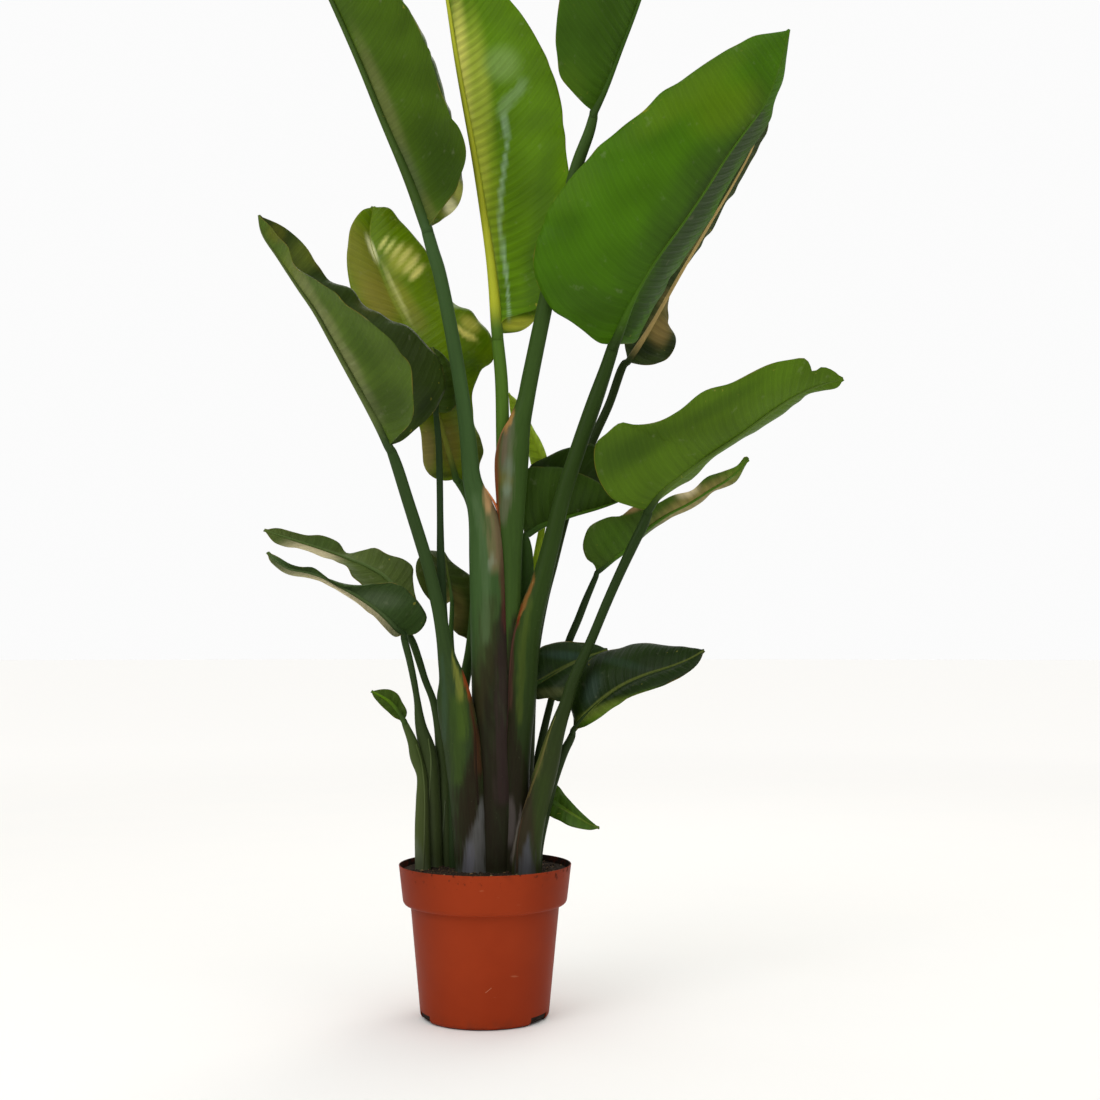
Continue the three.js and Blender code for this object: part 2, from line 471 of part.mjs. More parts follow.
// The pot's wall and floor, turned round the axis
function potProfile() {
  const bandFoot = POT_HEIGHT - BAND_HEIGHT;
  const bandInside = bandFoot + POT_WALL;
  return [
    [0, 0],
    [BASE_RADIUS - BASE_CORNER, 0],
    [BASE_RADIUS - CORNER_MIDDLE * BASE_CORNER, CORNER_MIDDLE * BASE_CORNER],
    [BASE_RADIUS, BASE_CORNER],
    [BODY_TOP_RADIUS, bandFoot],
    [BAND_FOOT_RADIUS - BAND_CORNER, bandFoot],
    [BAND_FOOT_RADIUS - CORNER_MIDDLE * BAND_CORNER, bandFoot + CORNER_MIDDLE * BAND_CORNER],
    [BAND_FOOT_RADIUS, bandFoot + BAND_CORNER],
    [RIM_RADIUS, POT_HEIGHT],
    [RIM_RADIUS - POT_WALL, POT_HEIGHT],
    [BAND_FOOT_RADIUS - POT_WALL, bandInside],
    [BODY_TOP_RADIUS - POT_WALL, bandInside],
    [BASE_RADIUS - POT_WALL, POT_FLOOR],
    [0, POT_FLOOR],
  ];
}

function lathe(profile) {
  const points = profile.map(([r, z]) => new THREE.Vector2(r, z));
  const geometry = new THREE.LatheGeometry(points, POT_SIDES);
  return geometry.rotateX(Math.PI / 2);
}

function potGeometry() {
  const notchAt = (angle) => new THREE.BoxGeometry(2 * NOTCH_DEPTH, NOTCH_WIDTH, 2 * NOTCH_HEIGHT)
    .translate(BASE_RADIUS, 0, 0)
    .rotateZ(THREE.MathUtils.degToRad(angle));
  return cut(lathe(potProfile()), NOTCH_ANGLES.map(notchAt));
}

// The soil follows the pot's inside, and its top rises and falls a little
function soilGeometry(cutters) {
  const top = POT_HEIGHT - SOIL_BELOW_RIM;
  const ledge = POT_HEIGHT - BAND_HEIGHT + POT_WALL + GAP;
  const inside = POT_WALL + GAP;
  const slope = (RIM_RADIUS - BAND_FOOT_RADIUS) / BAND_HEIGHT;
  const edge = RIM_RADIUS - inside - slope * SOIL_BELOW_RIM;
  const rings = SOIL_RINGS.map((share) => [share * edge, top]);
  const geometry = lathe([
    [0, POT_FLOOR + GAP],
    [BASE_RADIUS - inside, POT_FLOOR + GAP],
    [BODY_TOP_RADIUS - inside, ledge],
    [BAND_FOOT_RADIUS - inside, ledge],
    [edge, top],
    ...rings,
    [0, top],
  ]);
  const position = geometry.attributes.position;
  for (let i = 0; i < position.count; i += 1) {
    const x = position.getX(i);
    const y = position.getY(i);
    const inner = Math.hypot(x, y) / edge;
    if (Math.abs(position.getZ(i) - top) < GAP && inner < SOIL_LEVEL_FROM) {
      const lump = Math.sin(x / SOIL_LUMP_PITCH) * Math.cos(y / SOIL_LUMP_PITCH + x / (2 * SOIL_LUMP_PITCH));
      position.setZ(i, top + SOIL_CROWN * (1 - inner * inner) + SOIL_LUMP * lump);
    }
  }
  return cut(geometry, cutters);
}

const potPlastic = paint(0x9a3a1a, 0.45);
const peat = paint(0x241a14, 1);
const bladeGreen = paint(0x355c16, 0.4);
const stalkGreen = paint(0x2c4420, 0.45);

const plant = new THREE.Group();

function addPiece(name, geometry, material) {
  const mesh = new THREE.Mesh(geometry, material);
  mesh.name = name;
  plant.add(mesh);
}

function boxesMeet(first, second) {
  first.computeBoundingBox();
  second.computeBoundingBox();
  return first.boundingBox.intersectsBox(second.boundingBox);
}

addPiece('pot', potGeometry(), potPlastic);

const clearances = [];
for (const [name, leaf] of Object.entries(LEAVES)) {
  const whole = stalkGeometry(leaf.stalk);
  const clearance = stalkGeometry(leaf.stalk, GAP);
  const inner = clearances.filter((other) => boxesMeet(other, whole));
  addPiece(`leaf_${name}_stalk`, cut(whole, inner), stalkGreen);
  addPiece(`leaf_${name}_blade`, cut(bladeGeometry(leaf), [clearance]), bladeGreen);
  clearances.push(clearance);
}

addPiece('soil', soilGeometry(clearances), peat);

export default plant;
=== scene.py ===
"""Potted giant bird of paradise: the finished blades, stalks, soil and nursery pot.

Blender works in metres here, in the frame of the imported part: +Z is up, the origin is the centre of the
pot's underside, and -Y is the front.
"""

import bpy
import numpy as np
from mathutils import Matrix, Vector


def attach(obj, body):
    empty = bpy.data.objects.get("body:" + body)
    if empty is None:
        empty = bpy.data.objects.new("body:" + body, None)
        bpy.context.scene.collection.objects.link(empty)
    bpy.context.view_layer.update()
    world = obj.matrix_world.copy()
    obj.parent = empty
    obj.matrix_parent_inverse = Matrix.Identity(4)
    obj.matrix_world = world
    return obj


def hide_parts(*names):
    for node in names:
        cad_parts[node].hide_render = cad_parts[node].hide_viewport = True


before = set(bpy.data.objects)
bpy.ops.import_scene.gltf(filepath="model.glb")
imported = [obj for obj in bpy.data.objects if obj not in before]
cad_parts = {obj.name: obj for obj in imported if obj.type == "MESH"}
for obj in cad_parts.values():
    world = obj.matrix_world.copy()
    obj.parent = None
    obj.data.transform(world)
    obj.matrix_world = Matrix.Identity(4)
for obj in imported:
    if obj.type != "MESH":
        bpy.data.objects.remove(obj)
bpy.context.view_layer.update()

MM = 0.001
CURVE_STEPS = 40

# Pot, in millimetres and degrees, as in the source of the part
POT_HEIGHT = 208
RIM_RADIUS = 120
BAND_HEIGHT = 54
BAND_FOOT_RADIUS = 114
BODY_TOP_RADIUS = 103.5
BASE_RADIUS = 89
POT_WALL = 2
POT_FLOOR = 3
NOTCH_HEIGHT = 11
NOTCH_WIDTH = 40
NOTCH_DEPTH = 12
NOTCH_ANGLES = (-33, -159, 87)

# The pot's finer make: the chamfer round its foot, that of the band's lower corner inwards and upwards, how
# far from a corner its rounding starts, the least angle of an edge that stays sharp, and the sides
FOOT_CHAMFER = 4
BAND_CHAMFER = (3, 4)
POT_ROUNDING = 3.2
SHARP_DEGREES = 38
POT_SIDES = 192

# Marks on the pot: how far inside the band's outer face the dark brown of the inner wall starts, and a
# slanting scratch on the front, with a point (x, z) on it, its run across for each mm up, its half width and
# where it ends
INNER_DARK_INSET = 0.9
SCRATCH = {"point": (4.5, 54.5), "lean": 1.25, "half_width": 0.6, "across": (0, 10), "up": (51.5, 58)}

# Soil, in millimetres: how far its edge lies below the rim, how far its middle is raised, its lumps and
# their pitch, the height, pitch and seed of each finer ripple, and its gap to the pot
SOIL_BELOW_RIM = 9
SOIL_CROWN = 2
SOIL_LUMP = 1.4
SOIL_LUMP_PITCH = 17
SOIL_RIPPLES = ((1.5, 9, 5), (0.9, 4, 6), (0.5, 2.2, 7))
SOIL_CLEARANCE = 0.35

# Steps round the soil and inwards, the number of grains of both kinds on it, a grain's least and greatest
# size, and how a bit of bark is stretched against a crumb
SOIL_SIDES = 300
SOIL_RINGS = 90
CRUMBS = 420
BARK_BITS = 150
GRAIN_SIZES = (0.9, 2.6)
BARK_STRETCH = (1.9, 0.8, 0.55)

# Blades: half thickness at the midrib and at the margin, how far each half arches, how wide the ends are,
# and the spacing of the corners, with the fewest and most steps along a blade and across a half
RIB_SKIN = 0.7
MARGIN_SKIN = 0.28
ARCH = 0.09
END_HALF_WIDTH = 2.5
BLADE_PITCH = 4.5
STEPS_ALONG = (26, 130)
STEPS_ACROSS = (8, 26)

# A blade's wave: its least length, how much longer it is for each mm of the blade's half width, and the
# pitch and strength of the ripple that goes with it
WAVE_LENGTH = 45
WAVE_STRETCH = 0.12
RIPPLE_PITCH = 110
RIPPLE_SHARE = 0.45

# Midribs: sides, how far back into the stalk each starts, over what length its colour takes over, and as
# shares of its half width what it loses by the tip, how far it hangs out underneath and its lack of depth
RIB_SIDES = 20
RIB_START = 10
RIB_TURN = 50
RIB_TAPER = 0.62
RIB_DROP = 0.4
RIB_FLATTENING = 0.2

# Stalks: spacing of the rings, depth as a share of width, how far each runs on into its blade and over what
# length it closes to a round end there. Those with a half width past THICK_STALK have more sides. The
# lower colour gives way to the upper one between the two heights of STALK_TURN above the stalk's start.
STALK_PITCH = 4
STALK_FLATNESS = 0.85
STALK_LAP = 3
STALK_ROUND = 7
THICK_STALK = 12
THICK_SIDES = 84
THIN_SIDES = 32
STALK_TURN = (120, 420)

# Lips along the sheaths' free edges: spacing and sides of the rings, half thickness, and how much further
# out than the stalk's skin the lip's middle lies
LIP_PITCH = 2.5
LIP_SIDES = 12
LIP_SKIN = 0.75
LIP_RISE = 0.15

# Fibres that fray a band of colour: their pitch across, and how much denser they are there than upwards
FIBRE_PITCH = 4.2
FIBRE_SQUEEZE = 0.09

# Pitches of the veins, of the finer lines between them and of the pleats across a blade, how far the veins
# lean to the tip for each mm from the midrib, and how much more in a bend, for each mm squared
VEIN_PITCH = 6.2
HAIR_PITCH = 2.1
PLEAT_PITCH = 13.5
VEIN_LEAN = 0.42
VEIN_BEND = 0.0016

# Half width of the pale line on a midrib at the tip and how much more it is at the foot, between which
# distances from the midrib the painted light and shade on the pleats dies out, and the pitch and strength of
# the mottled tone
RIB_LINE = 1.2
RIB_LINE_MORE = 4
PLEAT_REACH = (10, 75)
MOTTLE_PITCH = 70
MOTTLE_SHARE = 0.13

# The photograph's perspective: the eye's distance in front of the pot's axis and its height, the point in
# metres that it looks at, and its focal length in pixels of a picture of that size
VIEW_DISTANCE = 2100
VIEW_HEIGHT = 509
CAMERA_AIM = (0.0904, 0, 0.646)
FOCAL_PIXELS = 1487
PICTURE_PIXELS = 1100

# Brightness of the surround, as a light low down and overhead and as the camera sees it, and the radius in
# metres of the floor
SURROUND_LOW = 0.13
SURROUND_HIGH = 1.3
SURROUND_SEEN = 0.97
FLOOR_RADIUS = 60

# The leaves, as in the source of the part. Each is listed as the eye sees it: x to the right and z up, in the
# upright plane through the pot's axis. The third number, y, is the depth behind that plane, which moves the
# point along its line of sight. A stalk's fourth number is its half width there. A blade has a midrib and
# two margins, one and two.
LEAVES = {
  "spear": {
    "stalk": [[43, 154, 24, 7], [47, 351, 26, 7], [52, 463, 30, 6.5], [59, 547, 34, 5.6],
      [67, 606, 38, 5.2], [73, 643, 40, 5.1], [79, 677, 42, 4.8], [81, 700, 42, 4.2]],
    "rib": [[81, 699, 42], [83, 731, 42], [78, 774, 42], [65, 811, 42], [49, 843, 42], [31, 870, 42]],
    "one": [[71, 731, 48], [63, 771, 52], [51, 803, 52], [36, 834, 50]],
    "two": [[90, 734, 46], [86, 777, 48], [76, 803, 50], [63, 826, 50], [46, 857, 48]],
  },
  "young_middle": {
    "stalk": [[37, 154, 16, 11.3], [41, 351, 16, 10.6], [47, 463, 16, 10.2], [54, 547, 16, 9.9],
      [58, 603, 16, 9.3], [58, 643, 15, 7.8], [55, 664, 14, 5.6]],
    "rib": [[55, 666, 14], [83, 683, 18], [120, 696, 25], [157, 706, 34], [192, 717, 46]],
    "one": [[48, 703, 12], [51, 738, 12], [59, 763, 13], [82, 764, 12], [106, 764, 11], [129, 757, 12],
      [146, 750, 15], [159, 743, 22], [176, 727, 33]],
    "two": [[58, 717, 27], [61, 764, 32], [86, 779, 35], [106, 789, 38], [116, 792, 40], [139, 796, 43],
      [153, 798, 46], [166, 782, 49], [173, 760, 50], [182, 736, 49]],
  },
  "shade_right": {
    "stalk": [[51, 154, 14, 11.3], [57, 351, 14, 11.3], [64, 491, 14, 10.6], [80, 575, 20, 8.5],
      [93, 625, 30, 8.2], [110, 689, 44, 7.5], [129, 749, 58, 7], [151, 803, 68, 6.6], [175, 855, 72, 6.1],
      [193, 906, 74, 5.9], [199, 917, 74, 4.8]],
    "rib": [[202, 916, 74], [234, 966, 92], [278, 1045, 112], [319, 1115, 128], [356, 1178, 140],
      [384, 1231, 150], [403, 1285, 158]],
    "one": [[227, 912, 74], [248, 915, 82], [264, 927, 94], [271, 948, 110], [260, 976, 130],
      [262, 1007, 150], [272, 1033, 166], [294, 1068, 182], [327, 1115, 196], [341, 1142, 202],
      [363, 1175, 204], [389, 1225, 200], [406, 1257, 185], [408, 1278, 170]],
    "two": [[197, 948, 94], [202, 991, 116], [227, 1053, 140], [264, 1116, 158], [305, 1183, 170],
      [347, 1240, 172], [381, 1276, 166]],
  },
  "low_right_back": {
    "stalk": [[50, 154, 44, 8.5], [50, 351, 42, 7], [54, 421, 38, 6.2], [62, 450, 33, 4.8]],
    "rib": [[62, 451, 33], [83, 464, 33], [105, 477, 34], [136, 492, 38], [172, 505, 42]],
    "one": [[64, 484, 36], [76, 507, 38], [90, 513, 40], [113, 517, 42], [137, 515, 44], [157, 512, 44]],
    "two": [[69, 436, 26], [89, 437, 20], [106, 432, 16], [121, 443, 16], [140, 462, 22], [158, 485, 32]],
  },
  "mid_right_back": {
    "stalk": [[66, 154, 34, 7], [70, 309, 36, 6.5], [74, 351, 38, 6.3], [79, 379, 42, 5.6],
      [92, 434, 54, 4.9], [106, 484, 60, 5.1], [118, 519, 58, 5.4], [130, 547, 52, 5.4],
      [141, 575, 44, 5.1], [157, 612, 32, 3.9]],
    "rib": [[157, 614, 32], [178, 631, 28], [204, 652, 26], [228, 676, 26], [259, 698, 28], [290, 714, 32],
      [317, 731, 36], [348, 750, 42], [375, 776, 48]],
    "one": [[153, 625, 26], [143, 633, 18], [137, 650, 12], [140, 667, 8], [147, 680, 6], [173, 693, 6],
      [191, 695, 8], [209, 708, 10], [226, 709, 14], [244, 713, 18], [266, 725, 24], [292, 731, 30],
      [315, 751, 36], [357, 767, 44], [371, 782, 48]],
    "two": [[177, 628, 46], [198, 645, 64], [226, 671, 78], [259, 694, 82], [290, 707, 76], [309, 719, 70],
      [323, 731, 64], [355, 743, 54]],
  },
  "tiny_right": {
    "stalk": [[57, 154, 4, 7], [57, 201, 3, 7], [67, 240, 2, 6.5], [75, 274, 0, 6.2], [85, 294, -2, 5.1]],
    "rib": [[85, 295, -2], [104, 287, -6], [125, 274, -16], [147, 261, -26], [160, 256, -32]],
    "one": [[92, 316, 0], [100, 316, -2], [113, 300, -8], [128, 284, -15], [145, 268, -25]],
    "two": [[85, 278, -6], [93, 271, -10], [104, 266, -16], [117, 259, -24], [132, 255, -30],
      [149, 253, -32]],
  },
  "low_right": {
    "stalk": [[67, 154, -20, 9.9], [71, 226, -19, 9.9], [81, 274, -17, 9.2], [92, 316, -16, 8.5],
      [103, 345, -16, 7], [111, 364, -16, 6.3], [120, 381, -17, 5.4], [123, 390, -18, 4.2]],
    "rib": [[123, 392, -19], [140, 412, -29], [162, 433, -40], [192, 454, -53], [225, 469, -67],
      [262, 481, -80], [289, 492, -91], [309, 504, -100]],
    "one": [[123, 409, -12], [119, 426, -8], [126, 448, -4], [138, 479, 0], [154, 495, -1], [171, 503, -4],
      [199, 510, -13], [225, 515, -26], [253, 512, -45], [280, 509, -68], [299, 507, -88]],
    "two": [[141, 398, -40], [161, 409, -57], [185, 427, -75], [210, 441, -88], [236, 450, -100],
      [264, 460, -108], [279, 469, -110], [294, 479, -107], [304, 491, -102]],
  },
  "tall_middle": {
    "stalk": [[29, 154, 2, 17], [29, 435, 2, 12.7], [27, 575, 2, 10.6], [24, 717, 4, 9.9],
      [23, 817, 5, 9.6], [21, 889, 6, 9.2], [15, 952, 8, 8.5]],
    "rib": [[15, 956, 8], [6, 1059, 12], [-6, 1149, 18], [-18, 1222, 24], [-32, 1296, 32], [-43, 1356, 40],
      [-56, 1436, 52], [-68, 1506, 64]],
    "one": [[26, 977, 2], [47, 983, -4], [72, 992, -8], [93, 1019, -8], [109, 1063, -10], [119, 1114, -12],
      [121, 1166, -12], [114, 1224, -8], [105, 1298, 0], [86, 1358, 10], [47, 1427, 30], [-11, 1484, 52]],
    "two": [[30, 956, 22], [50, 960, 34], [66, 973, 42], [78, 1005, 52], [85, 1077, 75], [80, 1180, 95],
      [66, 1282, 105], [44, 1371, 108], [6, 1444, 100], [-37, 1491, 80]],
  },
  "tall_right": {
    "stalk": [[29, 154, -5, 31], [30, 323, -5, 27], [33, 435, -7, 21], [34, 547, -10, 16],
      [35, 632, -12, 15.5], [35, 717, -12, 21], [38, 788, -12, 23], [46, 824, -10, 17],
      [55, 856, -12, 12.7], [62, 892, -14, 12], [82, 990, -26, 11.3], [106, 1100, -38, 9.9],
      [129, 1200, -46, 9.2], [148, 1254, -50, 7.8], [154, 1278, -52, 6.3]],
    "rib": [[154, 1281, -52], [172, 1321, -50], [195, 1381, -44], [222, 1456, -34], [251, 1554, -18],
      [281, 1661, 2], [298, 1722, 14]],
    "one": [[141, 1291, -62], [122, 1311, -80], [106, 1332, -96], [101, 1359, -106], [99, 1402, -114],
      [109, 1476, -114], [137, 1567, -96], [189, 1651, -54], [245, 1705, -12]],
    "two": [[161, 1299, -30], [166, 1328, -5], [172, 1388, 20], [184, 1478, 48], [210, 1583, 62],
      [247, 1667, 48], [277, 1709, 28]],
  },
  "broad_right": {
    "stalk": [[42, 154, -20, 25], [43, 301, -20, 18.3], [45, 379, -19, 19.7], [50, 437, -18, 21],
      [55, 512, -17, 20.4], [62, 550, -16, 19], [72, 581, -15, 16.2], [83, 620, -14, 13.4],
      [95, 667, -13, 12.4], [107, 717, -12, 11.7], [130, 789, -11, 11.3], [153, 855, -11, 11.3],
      [171, 907, -12, 9.6], [181, 938, -14, 8.7]],
    "rib": [[182, 942, -14], [208, 1003, -42], [242, 1062, -63], [284, 1121, -79], [319, 1173, -90],
      [344, 1213, -98], [372, 1253, -104], [402, 1295, -109], [424, 1348, -110], [441, 1408, -106]],
    "one": [[162, 943, -19], [136, 962, -32], [106, 983, -48], [92, 993, -55], [72, 1029, -66],
      [66, 1060, -71], [75, 1101, -76], [89, 1137, -80], [115, 1176, -84], [145, 1213, -90],
      [195, 1261, -99], [225, 1284, -104], [260, 1317, -109], [285, 1332, -112], [328, 1362, -114],
      [382, 1395, -111]],
    "two": [[201, 942, 1], [214, 947, 12], [241, 999, 27], [282, 1068, 36], [313, 1112, 39],
      [335, 1161, 40], [360, 1206, 36], [387, 1246, 27], [405, 1279, 10], [406, 1298, -11],
      [427, 1334, -52], [433, 1364, -77]],
  },
  "bright_left": {
    "stalk": [[-46, 154, 46, 9.9], [-44, 323, 44, 9.2], [-36, 421, 40, 8.5], [-28, 470, 36, 7.8],
      [-21, 507, 32, 7.8], [-14, 575, 26, 8.5], [-14, 653, 24, 8.9], [-17, 697, 24, 8.5],
      [-24, 719, 24, 7.3], [-35, 737, 23, 6.2], [-42, 745, 22, 5.1]],
    "rib": [[-43, 746, 22], [-65, 823, 32], [-89, 902, 45], [-116, 968, 58], [-135, 1003, 68],
      [-154, 1049, 81], [-167, 1092, 95], [-163, 1137, 110]],
    "one": [[-58, 744, 19], [-70, 746, 17], [-81, 753, 17], [-88, 765, 17], [-91, 788, 19], [-94, 816, 21],
      [-111, 859, 26], [-140, 909, 32], [-169, 959, 43], [-189, 1002, 53], [-199, 1048, 66],
      [-198, 1087, 78], [-193, 1111, 88], [-177, 1133, 101]],
    "two": [[-26, 742, 32], [-10, 748, 38], [-9, 767, 42], [-3, 787, 46], [-13, 814, 51], [-19, 842, 55],
      [-21, 870, 57], [-8, 901, 59], [8, 917, 61], [6, 953, 63], [-11, 975, 68], [-30, 992, 75],
      [-50, 1003, 81], [-67, 1039, 88], [-86, 1071, 94], [-123, 1117, 104], [-142, 1136, 110]],
  },
  "low_middle": {
    "stalk": [[-30, 154, 66, 8.5], [-36, 351, 62, 7], [-43, 435, 56, 5.6], [-47, 491, 44, 4.2],
      [-49, 531, 34, 3.5], [-48, 558, 32, 3.2], [-48, 574, 36, 2.8]],
    "rib": [[-48, 575, 36], [-51, 595, 48], [-55, 617, 62], [-59, 643, 80]],
    "one": [[-65, 565, 33], [-83, 579, 32], [-93, 595, 34], [-99, 614, 38], [-97, 631, 46], [-83, 644, 60]],
    "two": [[-51, 550, 42], [-43, 529, 44], [-29, 522, 48], [-18, 516, 52], [-8, 540, 56], [-7, 575, 62],
      [-16, 603, 66], [-34, 616, 70], [-47, 626, 76]],
  },
  "small_left": {
    "stalk": [[-41, 154, 8, 8.5], [-45, 351, 6, 7.8], [-50, 435, 2, 7], [-53, 491, -2, 6.3],
      [-58, 533, -4, 5.9], [-62, 589, -4, 5.8], [-64, 637, -4, 5.6], [-65, 688, -4, 4.8],
      [-66, 748, -3, 4.7], [-68, 802, 0, 4.5], [-72, 841, 4, 3.9]],
    "rib": [[-72, 842, 4], [-69, 865, 8], [-69, 889, 11], [-72, 913, 12], [-78, 935, 12]],
    "one": [[-86, 851, 2], [-96, 871, 4], [-99, 895, 6], [-92, 919, 8]],
    "two": [[-56, 841, 10], [-42, 853, 14], [-38, 875, 16], [-43, 898, 16], [-55, 917, 15], [-68, 930, 13]],
  },
  "low_left_back": {
    "stalk": [[-55, 154, 34, 12], [-57, 296, 32, 12], [-60, 351, 31, 10], [-65, 397, 30, 7.4],
      [-74, 435, 30, 5.2], [-85, 463, 31, 4.9], [-94, 491, 33, 5.2], [-102, 514, 34, 5.2],
      [-108, 527, 34, 4.2]],
    "rib": [[-109, 531, 34], [-117, 572, 48], [-138, 603, 63], [-166, 621, 74], [-191, 631, 82],
      [-220, 642, 86], [-253, 653, 89], [-283, 663, 90], [-312, 673, 90]],
    "one": [[-96, 561, 49], [-101, 589, 62], [-103, 606, 72], [-103, 621, 77], [-114, 631, 82],
      [-140, 640, 90], [-156, 648, 95], [-171, 645, 98], [-189, 641, 99], [-197, 642, 100],
      [-208, 656, 100], [-232, 666, 97], [-252, 666, 96], [-270, 670, 96], [-294, 676, 93]],
    "two": [[-126, 558, 33], [-152, 579, 36], [-174, 596, 42], [-188, 607, 49], [-197, 623, 58],
      [-225, 634, 65], [-253, 645, 72], [-276, 649, 78], [-297, 655, 83]],
  },
  "low_left": {
    "stalk": [[-70, 154, 24, 13], [-75, 296, 22, 13.4], [-80, 358, 20, 12.6], [-91, 400, 18, 7.8],
      [-96, 435, 17, 4.7], [-101, 463, 16, 4.7], [-107, 491, 14, 4.9], [-113, 514, 13, 5.1],
      [-116, 526, 12, 4.5]],
    "rib": [[-115, 527, 12], [-126, 534, 1], [-139, 547, -9], [-156, 562, -22], [-183, 580, -38],
      [-208, 594, -55], [-230, 606, -70], [-253, 613, -82], [-277, 618, -93], [-293, 628, -101],
      [-307, 642, -110]],
    "one": [[-102, 526, 19], [-90, 534, 22], [-83, 550, 21], [-89, 564, 16], [-107, 586, 6],
      [-121, 595, -5], [-134, 600, -14], [-152, 597, -27], [-187, 594, -48], [-205, 594, -60],
      [-225, 607, -72], [-243, 621, -82], [-260, 621, -91], [-275, 625, -98], [-292, 635, -104]],
    "two": [[-128, 524, -13], [-149, 544, -37], [-173, 565, -60], [-195, 580, -76], [-223, 597, -93],
      [-249, 606, -104], [-274, 610, -108], [-289, 617, -109], [-303, 629, -108]],
  },
  "tiny_left": {
    "stalk": [[-85, 154, 8, 11.3], [-88, 254, 8, 10.4], [-88, 296, 8, 9], [-89, 330, 8, 7.3],
      [-97, 355, 8, 8.5], [-102, 376, 8, 7], [-109, 393, 8, 5.4], [-114, 404, 10, 4.2]],
    "rib": [[-114, 405, 10], [-123, 418, 6], [-134, 431, 2], [-147, 440, -2], [-160, 447, -6]],
    "one": [[-110, 418, 14], [-117, 432, 14], [-123, 443, 12], [-133, 449, 8], [-144, 450, 3]],
    "two": [[-127, 410, 0], [-137, 419, -6], [-148, 429, -9], [-156, 438, -9]],
  },
  "tall_left": {
    "stalk": [[9, 154, -14, 33], [11, 295, -14, 31], [9, 379, -14, 28], [7, 463, -14, 27],
      [4, 547, -14, 26], [1, 632, -14, 25], [-3, 685, -14, 22], [-10, 712, -14, 18], [-20, 745, -14, 13.4],
      [-26, 802, -13, 11.7], [-35, 868, -12, 10.3], [-50, 956, -10, 9.9], [-69, 1047, -6, 9.6],
      [-77, 1073, -4, 9.3], [-86, 1105, -1, 8.5]],
    "rib": [[-86, 1106, 0], [-111, 1174, 10], [-147, 1262, 25], [-185, 1354, 45], [-236, 1466, 75],
      [-292, 1583, 110]],
    "one": [[-70, 1127, -28], [-46, 1163, -55], [-35, 1193, -66], [-32, 1222, -70], [-42, 1254, -74],
      [-58, 1281, -72], [-80, 1355, -58], [-119, 1435, -22], [-185, 1515, 35], [-250, 1569, 85]],
    "two": [[-67, 1118, 36], [-50, 1131, 50], [-39, 1149, 62], [-35, 1177, 70], [-41, 1222, 80],
      [-68, 1325, 98], [-105, 1413, 112], [-156, 1486, 126], [-228, 1559, 126]],
  },
  "broad_left": {
    "stalk": [[-16, 154, -30, 22.5], [-25, 295, -31, 24.2], [-33, 372, -31, 26.2], [-44, 435, -30, 24.8],
      [-47, 463, -29, 19], [-54, 491, -28, 13.4], [-59, 519, -26, 10.6], [-65, 554, -26, 9.6],
      [-73, 589, -26, 9.2], [-82, 624, -27, 8.9], [-93, 660, -28, 8.9], [-111, 716, -33, 8.5],
      [-127, 766, -39, 8], [-136, 790, -42, 6.5]],
    "rib": [[-139, 793, -42], [-149, 814, -53], [-168, 850, -66], [-188, 887, -78], [-215, 936, -92],
      [-244, 987, -106], [-267, 1020, -117], [-296, 1063, -130], [-319, 1097, -141], [-326, 1123, -150]],
    "one": [[-128, 803, -67], [-114, 819, -95], [-103, 836, -116], [-104, 866, -130], [-110, 908, -143],
      [-126, 932, -152], [-143, 948, -159], [-173, 976, -167], [-209, 1005, -171], [-239, 1030, -173],
      [-270, 1047, -169], [-285, 1079, -163], [-305, 1103, -156]],
    "two": [[-122, 800, -31], [-96, 820, -23], [-72, 846, -18], [-60, 875, -19], [-63, 908, -21],
      [-86, 937, -30], [-112, 964, -42], [-141, 976, -54], [-173, 995, -66], [-192, 1019, -79],
      [-225, 1030, -93], [-242, 1053, -105], [-253, 1072, -115], [-288, 1105, -134]],
  },
  "mid_right": {
    "stalk": [[58, 154, -40, 20.4], [58, 226, -40, 20.4], [66, 267, -40, 18], [74, 295, -40, 16.4],
      [80, 320, -40, 17], [89, 351, -39, 15.2], [96, 378, -38, 13], [104, 404, -37, 11],
      [113, 429, -36, 9.3], [123, 461, -34, 8.5], [148, 517, -32, 6.9], [172, 574, -31, 6.8],
      [190, 614, -30, 6.9], [211, 658, -29, 7.3], [223, 682, -28, 7.2], [231, 702, -28, 6.3]],
    "rib": [[230, 703, -28], [249, 729, -37], [282, 755, -48], [315, 780, -59], [363, 813, -72],
      [409, 847, -85], [450, 873, -98], [482, 886, -109], [513, 894, -120]],
    "one": [[203, 709, -39], [179, 720, -48], [162, 742, -57], [153, 772, -64], [156, 799, -73],
      [170, 812, -80], [192, 829, -89], [206, 825, -94], [245, 831, -105], [275, 847, -113],
      [308, 873, -122], [349, 887, -129], [408, 915, -134], [436, 921, -135], [459, 923, -134],
      [469, 904, -125], [482, 911, -128], [497, 907, -125]],
    "two": [[253, 722, -14], [272, 735, -8], [290, 747, -4], [303, 757, -4], [311, 771, -6],
      [322, 783, -10], [335, 791, -14], [381, 818, -30], [428, 843, -52], [453, 866, -76], [480, 876, -96],
      [505, 882, -112]],
  },
}

